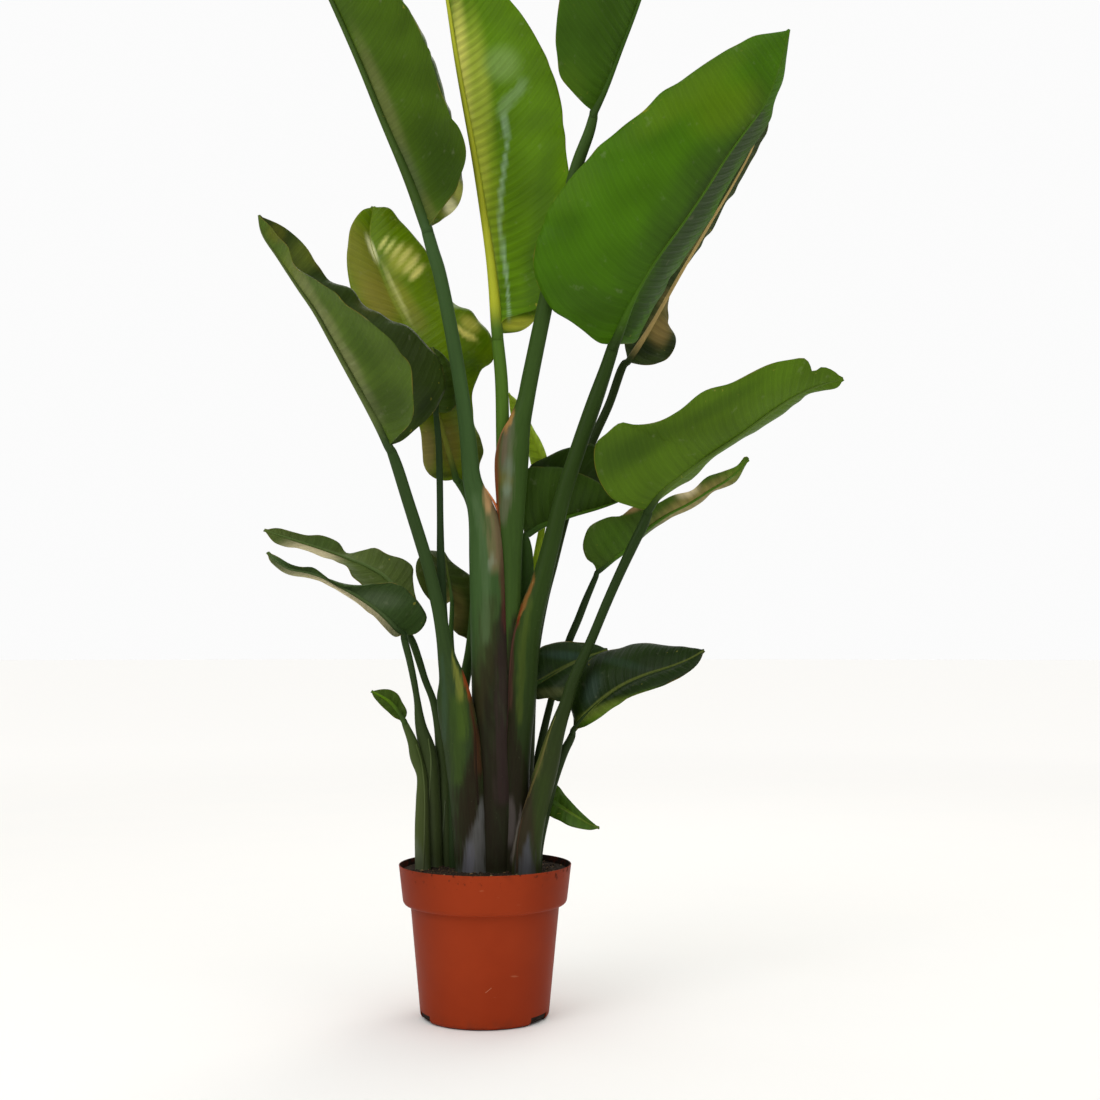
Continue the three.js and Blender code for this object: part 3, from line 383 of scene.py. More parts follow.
# Colours as seen in daylight (red, green and blue out of 255): of the blades and stalks, the pot, the peat,
# its crumbs and the bits of bark
DEEP = (44, 66, 18)
LEAF = (66, 100, 20)
FRESH = (88, 124, 18)
LIME = (150, 178, 40)
TAN = (132, 120, 66)
CREAM = (176, 176, 110)
STALK_FOOT = (46, 60, 28)
STALK_GREEN = (56, 82, 34)
TRUNK_BROWN = (34, 25, 18)
TERRACOTTA = (154, 56, 25)
DARK_TERRACOTTA = (144, 50, 21)
PEAT = (40, 30, 20)
CRUMB = (44, 32, 22)
BARK = (150, 122, 84)

# Lower and upper colour of each stalk, where they are not these
STALK_TONES = (STALK_FOOT, STALK_GREEN)
STALKS = {
  "tall_left": ((46, 56, 34), (60, 86, 44)),
  "tall_right": ((46, 50, 30), (56, 80, 32)),
  "broad_right": ((36, 46, 22), (46, 66, 24)),
  "broad_left": ((44, 56, 30), (50, 70, 34)),
  "mid_right": ((48, 58, 28), (40, 58, 24)),
  "tall_middle": ((50, 66, 30), (78, 110, 36)),
  "spear": ((90, 120, 30), LIME),
  "low_left": ((68, 80, 44), (46, 66, 32)),
  "low_left_back": ((66, 80, 44), (46, 66, 30)),
  "tiny_left": ((70, 82, 42), (62, 84, 36)),
  "small_left": ((44, 60, 32), (40, 58, 30)),
  "shade_right": ((36, 44, 22), (40, 54, 22)),
  "mid_right_back": ((38, 50, 24), (36, 52, 24)),
  "low_right": ((40, 54, 26), (38, 54, 24)),
}

# For each blade: which way its upper face looks against the arch of its halves (1 with it, -1 against it),
# the colours of the upper face, the underside and the midrib, how much the margin waves in mm, what share
# of its thickness the midrib loses near the foot, and how strongly light and shade are painted on its
# pleats beside the midrib. Beside each leaf's own green, these colours carry the light or shade it stands
# in: painted shade on the darker leaves, such as shade_right, and painted light on the paler, backlit ones,
# such as tall_middle.
BLADES = {
  "spear": (1, LIME, LIME, LIME, 0.4, 0.1, 0.3),
  "young_middle": (-1, (40, 58, 16), (52, 76, 20), LEAF, 1.0, 0.1, 0.3),
  "shade_right": (1, (36, 50, 14), (48, 62, 20), (172, 148, 92), 1.6, 0.35, 0.3),
  "low_right_back": (1, (34, 52, 20), (54, 74, 20), (46, 62, 26), 0.8, 0.5, 0.15),
  "mid_right_back": (-1, (104, 104, 48), (58, 82, 20), LEAF, 1.4, 0.1, 0.3),
  "tiny_right": (1, (58, 86, 20), (66, 92, 22), FRESH, 0.4, 0.1, 0.3),
  "low_right": (1, (27, 43, 11), (80, 100, 34), (42, 60, 22), 1.0, 0.5, 0.15),
  "tall_middle": (1, (92, 122, 8), (88, 126, 6), (180, 186, 50), 1.6, 0.1, 0.55),
  "tall_right": (-1, (60, 88, 18), (58, 90, 16), (58, 88, 26), 1.6, 0.3, 0.3),
  "broad_right": (-1, (44, 62, 24), (64, 104, 8), (66, 100, 22), 2.2, 0.72, 0.1),
  "bright_left": (1, (92, 118, 4), (88, 108, 14), (118, 124, 44), 2.4, 0.1, 0.12),
  "low_middle": (-1, (52, 66, 14), (50, 62, 14), (70, 84, 24), 0.8, 0.1, 0.3),
  "small_left": (1, (54, 74, 18), (56, 78, 20), (66, 90, 28), 0.6, 0.1, 0.3),
  "low_left_back": (1, (66, 90, 36), (76, 92, 40), (78, 98, 46), 0.9, 0.1, 0.1),
  "low_left": (1, (58, 80, 34), (64, 86, 44), (78, 98, 56), 0.9, 0.1, 0.1),
  "tiny_left": (1, (66, 92, 28), (70, 94, 30), FRESH, 0.4, 0.1, 0.3),
  "tall_left": (1, (64, 92, 18), (64, 90, 14), (60, 82, 30), 1.8, 0.1, 0.08),
  "broad_left": (1, (46, 62, 18), (76, 98, 32), (84, 98, 50), 1.8, 0.1, 0.15),
  "mid_right": (-1, (66, 84, 18), (74, 102, 18), (78, 102, 34), 2.0, 0.3, 0.12),
}

# Soft washes of colour over a blade: colour, strength, and the oval (x, z, half width, half height, tilt
# in degrees) that each covers, as seen from the front. An eighth value keeps a wash to one half of the
# blade: -1 to the half of margin one, 1 to the half of margin two. Many washes are painted light and shade,
# as marked below: painted highlights, sheen, reflections and light through the blade, and painted shade.
# The others are the blades' own tones.
WASHES = {
  # young_middle's dark wash is painted shade
  "young_middle": [(DEEP, 0.6, 100, 779, 60, 22, 5)],
  # shade_right: the three tan washes are painted reflections, and the two darkest are painted shade
  "shade_right": [
    ((134, 114, 64), 0.9, 248, 962, 18, 26, -12),
    ((120, 106, 56), 0.7, 258, 1004, 12, 22, -20),
    (TAN, 0.4, 300, 1096, 10, 46, -32),
    ((24, 36, 6), 0.8, 226, 936, 22, 14, 0),
    ((30, 40, 8), 0.7, 266, 940, 8, 18, -20),
  ],
  # low_right_back: both washes are painted sheen
  "low_right_back": [(CREAM, 0.15, 92, 445, 30, 8, 4), ((60, 84, 76), 0.45, 112, 497, 34, 7, -4)],
  "mid_right_back": [
    (TAN, 0.85, 300, 719, 80, 15, 30),
    (LEAF, 0.5, 182, 661, 34, 30, 0),
    (FRESH, 0.4, 360, 761, 26, 12, 30),
    ((206, 190, 150), 0.9, 286, 732, 18, 11, 20),
    ((150, 120, 80), 0.8, 204, 705, 20, 7, 15),
  ],
  # low_right: the two bluish washes are painted sheen
  "low_right": [
    (FRESH, 0.8, 190, 425, 60, 9, 24),
    ((70, 88, 84), 0.3, 150, 451, 12, 26, -18),
    ((60, 84, 76), 0.15, 190, 487, 40, 7, -14),
    ((92, 108, 40), 0.8, 163, 421, 40, 8, 24),
  ],
  # tall_middle: the yellow washes are painted light shining through the blade, and the pale bluish green one
  # near the top is a painted sheen
  "tall_middle": [
    ((214, 210, 104), 0.9, -34, 1325, 13, 127, 5),
    ((170, 184, 66), 0.75, -14, 1311, 20, 113, 5),
    ((190, 196, 74), 0.85, -13, 1164, 11, 99, 5),
    ((140, 164, 36), 0.7, 1, 1164, 20, 113, 5),
    ((178, 190, 84), 0.8, 6, 1033, 10, 70, 4),
    ((132, 164, 84), 0.7, 21, 1350, 28, 28, 0),
    ((64, 98, 12), 0.4, 83, 1150, 17, 113, -6),
    ((60, 92, 14), 0.5, 69, 1034, 17, 56, 0),
    ((206, 208, 70), 0.9, 47, 970, 28, 10, 8),
    ((176, 186, 64), 0.8, -9, 1205, 12, 80, 5),
  ],
  "tall_right": [(FRESH, 0.35, 120, 1319, 26, 40, 0)],
  # broad_right: the dark washes are painted shade; the two small yellow ones are the blade's own flecks
  "broad_right": [
    ((74, 112, 14), 0.7, 110, 1169, 60, 40, 30),
    ((88, 118, 14), 0.6, 290, 1309, 110, 26, 38),
    ((52, 76, 24), 0.5, 290, 1159, 34, 190, -33),
    ((46, 62, 28), 0.6, 325, 1175, 18, 150, -33),
    ((50, 76, 18), 0.5, 150, 999, 60, 30, -20),
    ((60, 82, 26), 0.5, 385, 1279, 16, 50, -15),
    ((150, 150, 30), 0.7, 152, 1245, 10, 4, 40),
    ((170, 160, 40), 0.6, 224, 1285, 8, 5, 30),
    ((92, 122, 10), 0.6, 345, 1290, 60, 40, 35),
    ((48, 68, 20), 0.7, 389, 1233, 14, 60, -20),
  ],
  # bright_left: the cream and pale yellow stripes are painted highlights, the tan washes low down are a
  # painted warm reflection, and the darkest greens are painted shade
  "bright_left": [
    ((122, 122, 40), 0.8, -178, 1057, 31, 87, 24, -1),
    ((128, 122, 44), 0.8, -152, 1002, 28, 48, 24, -1),
    ((92, 120, 4), 0.7, -170, 1130, 37, 20, -20),
    ((236, 234, 180), 0.9, -164, 1076, 4, 23, 22),
    ((212, 214, 120), 0.85, -148, 1085, 3.5, 14, -34, 1),
    ((210, 214, 120), 0.85, -138, 1081, 3.5, 16, -36, 1),
    ((218, 214, 130), 0.85, -128, 1074, 4, 16, -36, 1),
    ((232, 224, 140), 0.95, -118, 1065, 5, 17, -38, 1),
    ((230, 222, 136), 0.95, -108, 1055, 5.5, 17, -40, 1),
    ((222, 214, 120), 0.9, -100, 1043, 5.5, 16, -42, 1),
    ((184, 186, 72), 0.55, -121, 1061, 23, 25, -40, 1),
    ((98, 130, 4), 0.7, -119, 1098, 23, 14, 20, 1),
    ((136, 138, 40), 0.7, -121, 1003, 16, 42, 30),
    ((112, 118, 30), 0.7, -101, 977, 14, 28, 30),
    ((182, 184, 110), 0.75, -129, 1014, 3.5, 48, 26),
    ((186, 182, 78), 0.9, -24, 969, 17, 11, -40),
    ((224, 212, 110), 0.95, -34, 957, 4, 16, 46),
    ((222, 214, 110), 0.9, -20, 950, 4, 14, 52),
    ((80, 112, 3), 0.8, -7, 943, 11, 11, 0),
    ((58, 88, 6), 0.7, -29, 908, 25, 23, 0),
    ((50, 66, 22), 0.6, -55, 871, 25, 31, 0),
    ((132, 120, 66), 0.9, -83, 790, 14, 42, 4),
    ((110, 102, 40), 0.85, -52, 796, 20, 48, 4),
    ((84, 96, 36), 0.85, -12, 788, 13, 34, 0),
    ((50, 58, 18), 0.7, -66, 752, 25, 5.5, 4),
  ],
  "low_middle": [((112, 104, 54), 0.85, -45, 558, 17, 34, 0), ((44, 60, 16), 0.6, -48, 615, 23, 20, 0)],
  "low_left_back": [
    ((116, 108, 66), 0.7, -168, 568, 31, 25, -10),
    ((62, 88, 22), 0.6, -118, 558, 20, 31, 0),
    ((198, 186, 148), 0.9, -253, 637, 73, 28, 20, 1),
    ((64, 88, 36), 0.5, -248, 648, 62, 14, 18, -1),
  ],
  "low_left": [
    ((196, 184, 146), 0.92, -219, 561, 155, 85, 30, 1),
    ((96, 110, 84), 0.5, -149, 575, 34, 13, -6, -1),
    ((46, 70, 20), 0.5, -104, 540, 20, 31, 0, -1),
  ],
  # tall_left: the cream and pale yellow washes are painted highlights, and the greyish olive ones are a
  # painted sheen along the midrib
  "tall_left": [
    ((108, 112, 64), 0.6, -150, 1294, 12, 110, 22),
    ((84, 94, 60), 0.6, -108, 1179, 14, 60, 22),
    ((150, 154, 76), 0.8, -60, 1127, 14, 9, 30),
    ((136, 140, 34), 0.6, -46, 1141, 12, 14, 0),
    ((44, 66, 10), 0.75, -64, 1200, 34, 80, 20),
    ((98, 104, 50), 0.6, -78, 1124, 9, 40, 22),
    ((248, 240, 190), 0.97, -52, 1139, 11, 16, 24, 1),
    ((206, 204, 110), 0.9, -40, 1161, 10, 20, 10, 1),
    ((86, 110, 8), 0.85, -70, 1121, 8.5, 10, 20, 1),
  ],
  # broad_left: the four pale grey streaks are painted sheen
  "broad_left": [
    ((118, 124, 76), 0.75, -261, 1024, 10, 37, 34),
    ((120, 126, 78), 0.75, -228, 970, 11, 42, 32),
    ((122, 126, 82), 0.7, -194, 910, 11, 42, 30),
    ((124, 128, 90), 0.7, -162, 853, 10, 34, 28),
    ((94, 98, 24), 0.7, -300, 1097, 14, 16, 40),
    ((50, 68, 18), 0.75, -140, 854, 34, 40, 20),
    ((56, 78, 20), 0.5, -176, 934, 14, 60, 30),
    ((62, 68, 16), 0.6, -170, 993, 22, 14, -35),
    ((40, 52, 14), 0.6, -110, 939, 40, 20, -40),
    ((28, 42, 10), 0.7, -88, 849, 10, 26, -30),
    ((92, 84, 30), 0.6, -232, 1053, 40, 12, -35),
    ((98, 112, 36), 0.75, -266, 1062, 25, 37, -40),
    ((44, 58, 18), 0.5, -89, 931, 23, 48, 0, 1),
  ],
  "mid_right": [
    ((62, 88, 22), 0.4, 190, 789, 34, 30, 0),
    (FRESH, 0.35, 400, 894, 60, 22, 24),
    ((52, 76, 14), 0.65, 219, 795, 62, 20, 30),
    ((54, 78, 16), 0.5, 334, 855, 70, 11, 30),
    ((60, 86, 18), 0.5, 162, 772, 37, 31, 0),
  ],
}

# Streaks of sky light on a blade, or of shade on broad_right, from the bottom up, listed like the bands of
# the stalks in MARKS
SHEENS = {
  "tall_middle": [
    ((170, 200, 168), 0.55, [[979, 32, 2], [1029, 29, 2.5], [1079, 23, 3], [1116, 19, 3], [1175, 21, 3.5],
      [1238, 29, 3], [1269, 24, 5]]),
    ((150, 178, 130), 0.45, [[1277, 22, 8], [1295, 30, 14], [1310, 44, 12], [1322, 50, 8]]),
  ],
  "broad_right": [
    ((42, 58, 28), 0.85, [[954, 198, 8], [999, 224, 18], [1068, 264, 20], [1112, 295, 19], [1161, 323, 14],
      [1206, 350, 12], [1246, 377, 11], [1279, 398, 7]]),
  ],
  "broad_left": [((128, 134, 92), 0.35, [[859, -172, 3], [929, -210, 3.5], [989, -240, 3]])],
}

# Bands and patches along a stalk, from the bottom up: colour, strength, and rows of height, middle and
# half width, as seen from the front. Those marked below are painted sheen; the rest are the stalks' and
# sheaths' own colours.
MARKS = {
  "tall_left": [
    (TRUNK_BROWN, 0.95, [[198, -1.5, 61], [379, 0.5, 56], [410, -1, 49], [449, 4.5, 38], [491, 17, 25],
      [519, 23, 19], [547, 27, 13], [575, 30, 8]]),
    ((54, 50, 28), 0.55, [[409, -12, 13], [463, -5.5, 17], [519, 0, 17], [575, 7, 13]]),
    # painted sheen, grey-green
    ((88, 112, 74), 0.5, [[519, -1, 7], [575, 0, 7], [632, -1, 8], [674, -6.5, 6.5], [717, -16, 7]]),
    ((56, 40, 42), 0.7, [[295, 25, 13], [435, 24, 12], [519, 26, 11], [547, 26, 8]]),
    ((92, 50, 46), 0.8, [[536, 28, 5], [575, 26, 5.5], [603, 24, 5.5], [632, 22, 4], [646, 22, 3.5]]),
    ((122, 112, 78), 0.85, [[620, 12, 8], [646, 14, 11], [674, 12, 13], [703, 6.5, 10], [717, 4, 8],
      [728, -0.5, 4], [735, -3.5, 1.5]]),
    ((116, 88, 70), 0.6, [[632, 19, 6.5], [653, 19, 8], [674, 18, 8.5], [695, 15, 6.5], [710, 10, 5]]),
    ((196, 152, 104), 0.8, [[705, 3, 5], [717, 3, 6.5], [728, -0.5, 4], [735, -2.5, 2]]),
    ((140, 150, 128), 0.5, [[622, 5.5, 4], [629, 7.5, 6.5], [634, 8.5, 4]]),
  ],
  "tall_right": [
    (TRUNK_BROWN, 0.95, [[197, 30, 38], [428, 33, 34], [491, 39, 19], [547, 42, 6.5]]),
    ((104, 104, 82), 0.75, [[688, 24, 6.5], [717, 28, 10], [745, 29, 11], [774, 28, 11], [802, 29, 10],
      [820, 32, 7], [831, 35, 4.5]]),
    ((112, 84, 70), 0.55, [[771, 23, 5], [795, 25, 5.5], [814, 28, 5]]),
    ((118, 72, 40), 0.85, [[695, 14, 3], [717, 14, 5], [745, 15, 5.5], [774, 14, 5], [795, 16, 3.5],
      [810, 19, 3]]),
    ((188, 136, 76), 0.85, [[820, 28, 3.5], [830, 33, 5], [840, 37, 3.5]]),
    ((104, 100, 36), 0.7, [[740, 26, 8.5], [745, 26, 11], [751, 26, 8.5]]),
    # painted sheen: the next two bluish grey bands
    ((128, 148, 126), 0.55, [[727, 29, 5], [733, 29, 7], [738, 29, 5.5]]),
    ((116, 134, 114), 0.4, [[751, 31, 5.5], [760, 31, 8], [771, 31, 6.5]]),
  ],
  "broad_right": [
    (TRUNK_BROWN, 0.92, [[197, 44, 27], [309, 44, 24], [344, 41, 19], [379, 36, 12], [435, 34, 8.5],
      [491, 35, 6.5], [533, 35, 3.5]]),
    ((84, 98, 34), 0.4, [[407, 47, 5], [463, 49, 6], [519, 52, 6], [547, 57, 6], [575, 62, 4]]),
    ((82, 56, 46), 0.7, [[428, 35, 3.5], [477, 36, 3.5], [519, 37, 4], [538, 40, 3]]),
    ((152, 100, 52), 0.85, [[550, 46, 2], [564, 52, 3.5], [578, 57, 3.5], [592, 63, 3.5], [603, 67, 2]]),
    ((112, 42, 20), 0.85, [[545, 45, 2], [555, 47, 2], [565, 50, 2]]),
    ((92, 84, 82), 0.7, [[237, 36, 10], [254, 36, 11], [274, 34, 10], [292, 35, 5]]),
    ((62, 48, 38), 0.6, [[212, 60, 6.5], [267, 61, 7], [295, 61, 4]]),
    ((80, 82, 88), 0.8, [[193, 60, 9], [212, 60, 9], [226, 60, 7], [237, 59, 3.5]]),
    ((116, 108, 102), 0.7, [[215, 37, 2], [240, 42, 2], [261, 46, 2], [279, 49, 1.5]]),
  ],
  "broad_left": [
    ((38, 26, 18), 0.95, [[197, -18, 27], [240, -19, 27], [268, -21, 26], [296, -21, 24], [323, -18, 19],
      [351, -14, 12], [376, -12, 7], [400, -11, 3.5]]),
    ((66, 90, 30), 0.5, [[323, -38, 8.5], [379, -39, 11], [435, -43, 10]]),
    ((70, 92, 30), 0.7, [[384, -32, 8], [414, -32, 9], [440, -34, 8]]),
    ((132, 136, 56), 0.75, [[440, -35, 6], [456, -37, 6], [470, -40, 6], [485, -44, 3.5], [495, -47, 1.5]]),
    ((80, 48, 30), 0.7, [[338, -9.5, 6], [386, -13, 5], [414, -18, 4], [435, -21, 3.5]]),
    ((172, 74, 34), 0.85, [[443, -23, 3], [454, -26, 3.5], [465, -29, 3], [471, -31, 2]]),
    # painted sheen, bluish
    ((60, 82, 66), 0.4, [[379, -58, 4], [435, -58, 4], [491, -61, 3.5]]),
    ((98, 98, 97), 0.92, [[191, -14, 22], [213, -13, 20], [233, -12, 16], [254, -9, 11], [275, -5.5, 6.5],
      [291, -5, 3]]),
    ((106, 106, 118), 0.6, [[196, -23, 9.5], [215, -23, 8.5], [230, -21, 5]]),
  ],
  "mid_right": [
    ((54, 42, 34), 0.85, [[197, 53, 24], [247, 53, 19], [309, 58, 10], [344, 64, 4]]),
    ((92, 96, 44), 0.7, [[334, 72, 5.5], [372, 79, 7], [399, 85, 6.5], [423, 93, 5.5]]),
    ((50, 66, 26), 0.6, [[209, 76, 7.5], [267, 78, 10], [323, 83, 10]]),
    ((84, 86, 92), 0.85, [[193, 57, 13], [212, 58, 11], [226, 59, 7.5], [240, 60, 4]]),
    ((120, 112, 106), 0.7, [[215, 38, 2], [240, 42, 2], [261, 46, 2], [278, 50, 1.5]]),
  ],
  "low_left": [
    ((66, 76, 50), 0.4, [[154, -76, 12], [289, -80, 10]]),
    ((100, 108, 90), 0.5, [[185, -84, 24], [214, -90, 20], [232, -96, 10]]),
  ],
  "low_left_back": [((66, 78, 50), 0.4, [[154, -58, 12], [289, -60, 10]])],
  "tiny_left": [
    ((74, 84, 46), 0.4, [[154, -88, 14], [309, -88, 10]]),
    ((102, 110, 92), 0.5, [[185, -92, 16], [218, -94, 12], [236, -98, 6]]),
  ],
  "young_middle": [(TRUNK_BROWN, 0.8, [[154, 37, 14], [409, 42, 12], [509, 50, 6]])],
}

# Free edge of a stalk's sheath, from the bottom up: heights with their colours, then rows of height, middle
# and half width, as seen from the front
SHEATH_EDGES = {
  "tall_left": ([(389, (46, 34, 32)), (505, (70, 42, 42)), (573, (98, 50, 46)), (642, (122, 84, 64)),
    (690, (150, 98, 66)), (710, (192, 102, 58)), (733, (206, 160, 108))],
    [[389, 30, 1.4], [505, 35, 1.6], [573, 30.5, 1.8], [642, 26, 2], [683, 22.5, 2], [710, 13, 1.8],
     [733, -1, 1]]),
  "tall_right": ([(549, (58, 72, 34)), (679, (96, 72, 40)), (721, (122, 66, 36)), (779, (110, 70, 40)),
    (811, (128, 94, 62)), (829, (180, 128, 72)), (839, (196, 156, 92))],
    [[549, 21.5, 1.2], [679, 19, 1.4], [721, 15.5, 1.8], [779, 14, 1.8], [811, 22, 1.8], [829, 32, 1.8],
     [839, 39, 1]]),
  "broad_right": ([(319, (40, 30, 24)), (419, (52, 38, 32)), (480, (84, 58, 48)), (535, (88, 56, 46)),
    (548, (112, 40, 18)), (560, (146, 82, 40)), (575, (170, 122, 66)), (601, (156, 140, 80))],
    [[319, 26, 1], [419, 31, 1.2], [507, 36, 1.4], [539, 43, 1.6], [575, 57, 1.8], [601, 66, 1.2]]),
  "broad_left": ([(289, (34, 26, 18)), (370, (50, 34, 22)), (425, (74, 44, 26)), (444, (140, 60, 28)),
    (462, (180, 86, 40)), (470, (156, 124, 54)), (481, (128, 134, 58))],
    [[289, -10, 1], [339, -13, 1.2], [394, -15.5, 1.6], [435, -23, 1.8], [461, -30, 1.8], [481, -41, 1]]),
  "mid_right": ([(195, (60, 46, 34)), (280, (72, 56, 40)), (323, (90, 84, 46)), (390, (104, 104, 54)),
    (412, (96, 102, 52))],
    [[195, 44, 1], [239, 45.5, 1.2], [280, 53.5, 1.4], [312, 64, 1.6], [351, 77.5, 1.8], [390, 89, 1.8],
     [412, 98, 1]]),
  "low_left": ([(197, (84, 92, 68)), (381, (96, 112, 66))],
    [[197, -79, 1], [268, -80.5, 1.2], [312, -78, 1.2], [351, -76, 1.2], [381, -80, 0.8]]),
  "low_left_back": ([(201, (80, 90, 66)), (295, (92, 104, 74))],
    [[201, -62, 1], [229, -61, 1.2], [264, -58, 1.2], [295, -56, 0.8]]),
  "tiny_left": ([(197, (84, 92, 60)), (373, (90, 106, 56))],
    [[197, -86, 1], [259, -84.5, 1.2], [312, -85, 1.2], [351, -90, 1], [373, -97, 0.8]]),
}


def place(rows):
    """Metres for rows of (x, z, y, ...) in mm: each point slides along its sight line by its depth y."""
    rows = np.asarray(rows, float)
    k = 1 + rows[:, 2] / VIEW_DISTANCE
    return MM * np.stack([rows[:, 0] * k, rows[:, 2], VIEW_HEIGHT + (rows[:, 1] - VIEW_HEIGHT) * k], -1)


def front_view(points):
    """The x and z, in millimetres, at which points in metres are seen: the way back from place."""
    points = points / MM
    k = 1 + points[..., 1] / VIEW_DISTANCE
    return points[..., 0] / k, VIEW_HEIGHT + (points[..., 2] - VIEW_HEIGHT) / k


def unit(vectors):
    """The vectors, each divided by its own length."""
    return vectors / np.maximum(np.linalg.norm(vectors, axis=-1, keepdims=True), 1e-9)


def distance_along(path):
    """The length of the path up to each of its points."""
    return np.r_[0, np.cumsum(np.linalg.norm(np.diff(path[:, :3], axis=0), axis=1))]


def smooth_path(rows, count):
    """Count + 1 points, evenly spaced by length, on a Catmull-Rom curve through the rows.

    Between two rows the curve is a cubic whose slopes come from the rows on either side, each spaced by
    the square root of its distance, so it makes no loops. Columns past the third ride along.
    """
    rows = np.asarray(rows, float)
    rows = np.vstack([2 * rows[0] - rows[1], rows, 2 * rows[-1] - rows[-2]])
    gaps = np.maximum(np.linalg.norm(np.diff(rows[:, :3], axis=0), axis=1), 1e-9)[:, None] ** 0.5
    before, here, after, beyond = rows[:-3], rows[1:-2], rows[2:-1], rows[3:]
    g0, g1, g2 = gaps[:-2], gaps[1:-1], gaps[2:]
    leave = g1 * ((here - before) / g0 - (after - before) / (g0 + g1) + (after - here) / g1)
    reach = g1 * ((after - here) / g1 - (beyond - here) / (g1 + g2) + (beyond - after) / g2)
    t = np.linspace(0, 1, CURVE_STEPS, endpoint=False)[None, :, None]
    here, after, leave, reach = (a[:, None] for a in (here, after, leave, reach))
    curve = (here + leave * t + (3 * (after - here) - 2 * leave - reach) * t**2
             + (2 * (here - after) + leave + reach) * t**3)
    curve = np.vstack([curve.reshape(-1, rows.shape[1]), rows[-2:-1]])
    travel = distance_along(curve)
    even = np.linspace(0, travel[-1], count + 1)
    return np.stack([np.interp(even, travel, column) for column in curve.T], -1)


def ripple(points, pitch, seed, waves=10):
    """A smooth random height from -1 to 1: sine waves about one pitch long, in seeded directions."""
    draw = np.random.default_rng(seed)
    heading = unit(draw.normal(size=(waves, 3))) * draw.uniform(0.6, 1.5, (waves, 1)) / pitch
    phase = draw.uniform(0, 2 * np.pi, waves)
    return np.clip(np.sin(2 * np.pi * points @ heading.T + phase).mean(-1) * 2.2, -1, 1)


def ease(value, low, high):
    """0 below low, 1 above high, and an S curve between."""
    t = np.clip((value - low) / (high - low), 0, 1)
    return t * t * (3 - 2 * t)


def linear(colour):
    """A colour out of 255, as seen, in the linear light that the shaders work in."""
    c = np.asarray(colour, float) / 255
    return np.where(c <= 0.04045, c / 12.92, ((c + 0.055) / 1.055) ** 2.4)


def tinge(tint, colour, share):
    """The tint with that share, from 0 to 1 at each point, of another colour mixed in."""
    return tint + (linear(colour) - tint) * share[..., None]


def quads(rows, columns, wrap=False):
    """The four-cornered faces of a grid of corners; with wrap, its last column joins its first."""
    i = np.arange(rows * columns).reshape(rows, columns)
    right = np.roll(i, -1, axis=1) if wrap else i[:, 1:]
    left = i if wrap else i[:, :-1]
    return np.stack([left[:-1], right[:-1], right[1:], left[1:]], -1).reshape(-1, 4)


class Shape:
    """Corners, faces and what the shader needs to know at each corner, gathered for one mesh."""

    def __init__(self):
        self.corners, self.faces, self.traits, self.total = [], [], {}, 0

    def add(self, corners, faces, **traits):
        """Adds a surface: its faces count from its own first corner, and each trait has a row per corner."""
        self.corners.append(corners.reshape(-1, 3))
        self.faces += [f + self.total for f in faces]
        for key, value in traits.items():
            self.traits.setdefault(key, []).append(value.reshape(len(self.corners[-1]), -1))
        self.total += len(self.corners[-1])

    def mesh(self, name):
        """One smooth mesh of everything added, with a UV map and an attribute for each other trait."""
        mesh = bpy.data.meshes.new(name)
        corners = np.concatenate(self.corners)
        loops = np.concatenate([f.ravel() for f in self.faces])
        sizes = np.concatenate([np.full(len(f), f.shape[1]) for f in self.faces])
        mesh.vertices.add(len(corners))
        mesh.vertices.foreach_set("co", corners.ravel())
        mesh.loops.add(len(loops))
        mesh.loops.foreach_set("vertex_index", loops)
        mesh.polygons.add(len(sizes))
        mesh.polygons.foreach_set("loop_start", np.cumsum(sizes) - sizes)
        mesh.polygons.foreach_set("use_smooth", np.ones(len(sizes), bool))
        mesh.update(calc_edges=True)
        for key, values in self.traits.items():
            values = np.concatenate(values)
            if key == "uv":
                layer, field, values = mesh.uv_layers.new(name="UVMap"), "uv", values[loops]
            elif key == "tint":
                layer, field = mesh.attributes.new(key, "FLOAT_COLOR", "POINT"), "color"
                values = np.c_[values, np.ones(len(values))]
            else:
                layer, field = mesh.attributes.new(key, "FLOAT_VECTOR", "POINT"), "vector"
            layer.data.foreach_set(field, values.astype(np.float32).ravel())
        return mesh


def show(name, data):
    """A new object in the scene, of a mesh, a light or a camera."""
    shown = bpy.data.objects.new(name, data)
    bpy.context.scene.collection.objects.link(shown)
    return shown


def piece(name, mesh, material, slot, *nodes):
    """Shows a mesh as a piece of the plant, standing for the CAD nodes, with the material. The slot is
    unused.
    """
    shown = show(name, mesh)
    mesh.materials.append(material)
    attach(shown, "root")
    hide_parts(*nodes)


def tube(rings):
    """Corners and outward faces of a closed tube: one ring after another, and a fan over each end."""
    count, sides = rings.shape[:2]
    corners = np.concatenate([rings.reshape(-1, 3), rings[:1].mean(1), rings[-1:].mean(1)])
    first, last = np.arange(sides), np.arange(sides) + (count - 1) * sides
    foot = np.stack([np.roll(first, -1), first, np.full(sides, count * sides)], -1)
    head = np.stack([last, np.roll(last, -1), np.full(sides, count * sides + 1)], -1)
    return corners, [quads(count, sides, wrap=True), foot, head]


def oval_rings(path, side, front, half_width, half_depth, sides):
    """Rings round a path: half widths along side by the turn's cosine, and depths along front by its sine."""
    turn = np.linspace(0, 2 * np.pi, sides, endpoint=False)[None, :, None]
    across = side[:, None] * half_width[:, None, None] * np.cos(turn)
    return path[:, None] + across + front[:, None] * half_depth[:, None, None] * np.sin(turn)


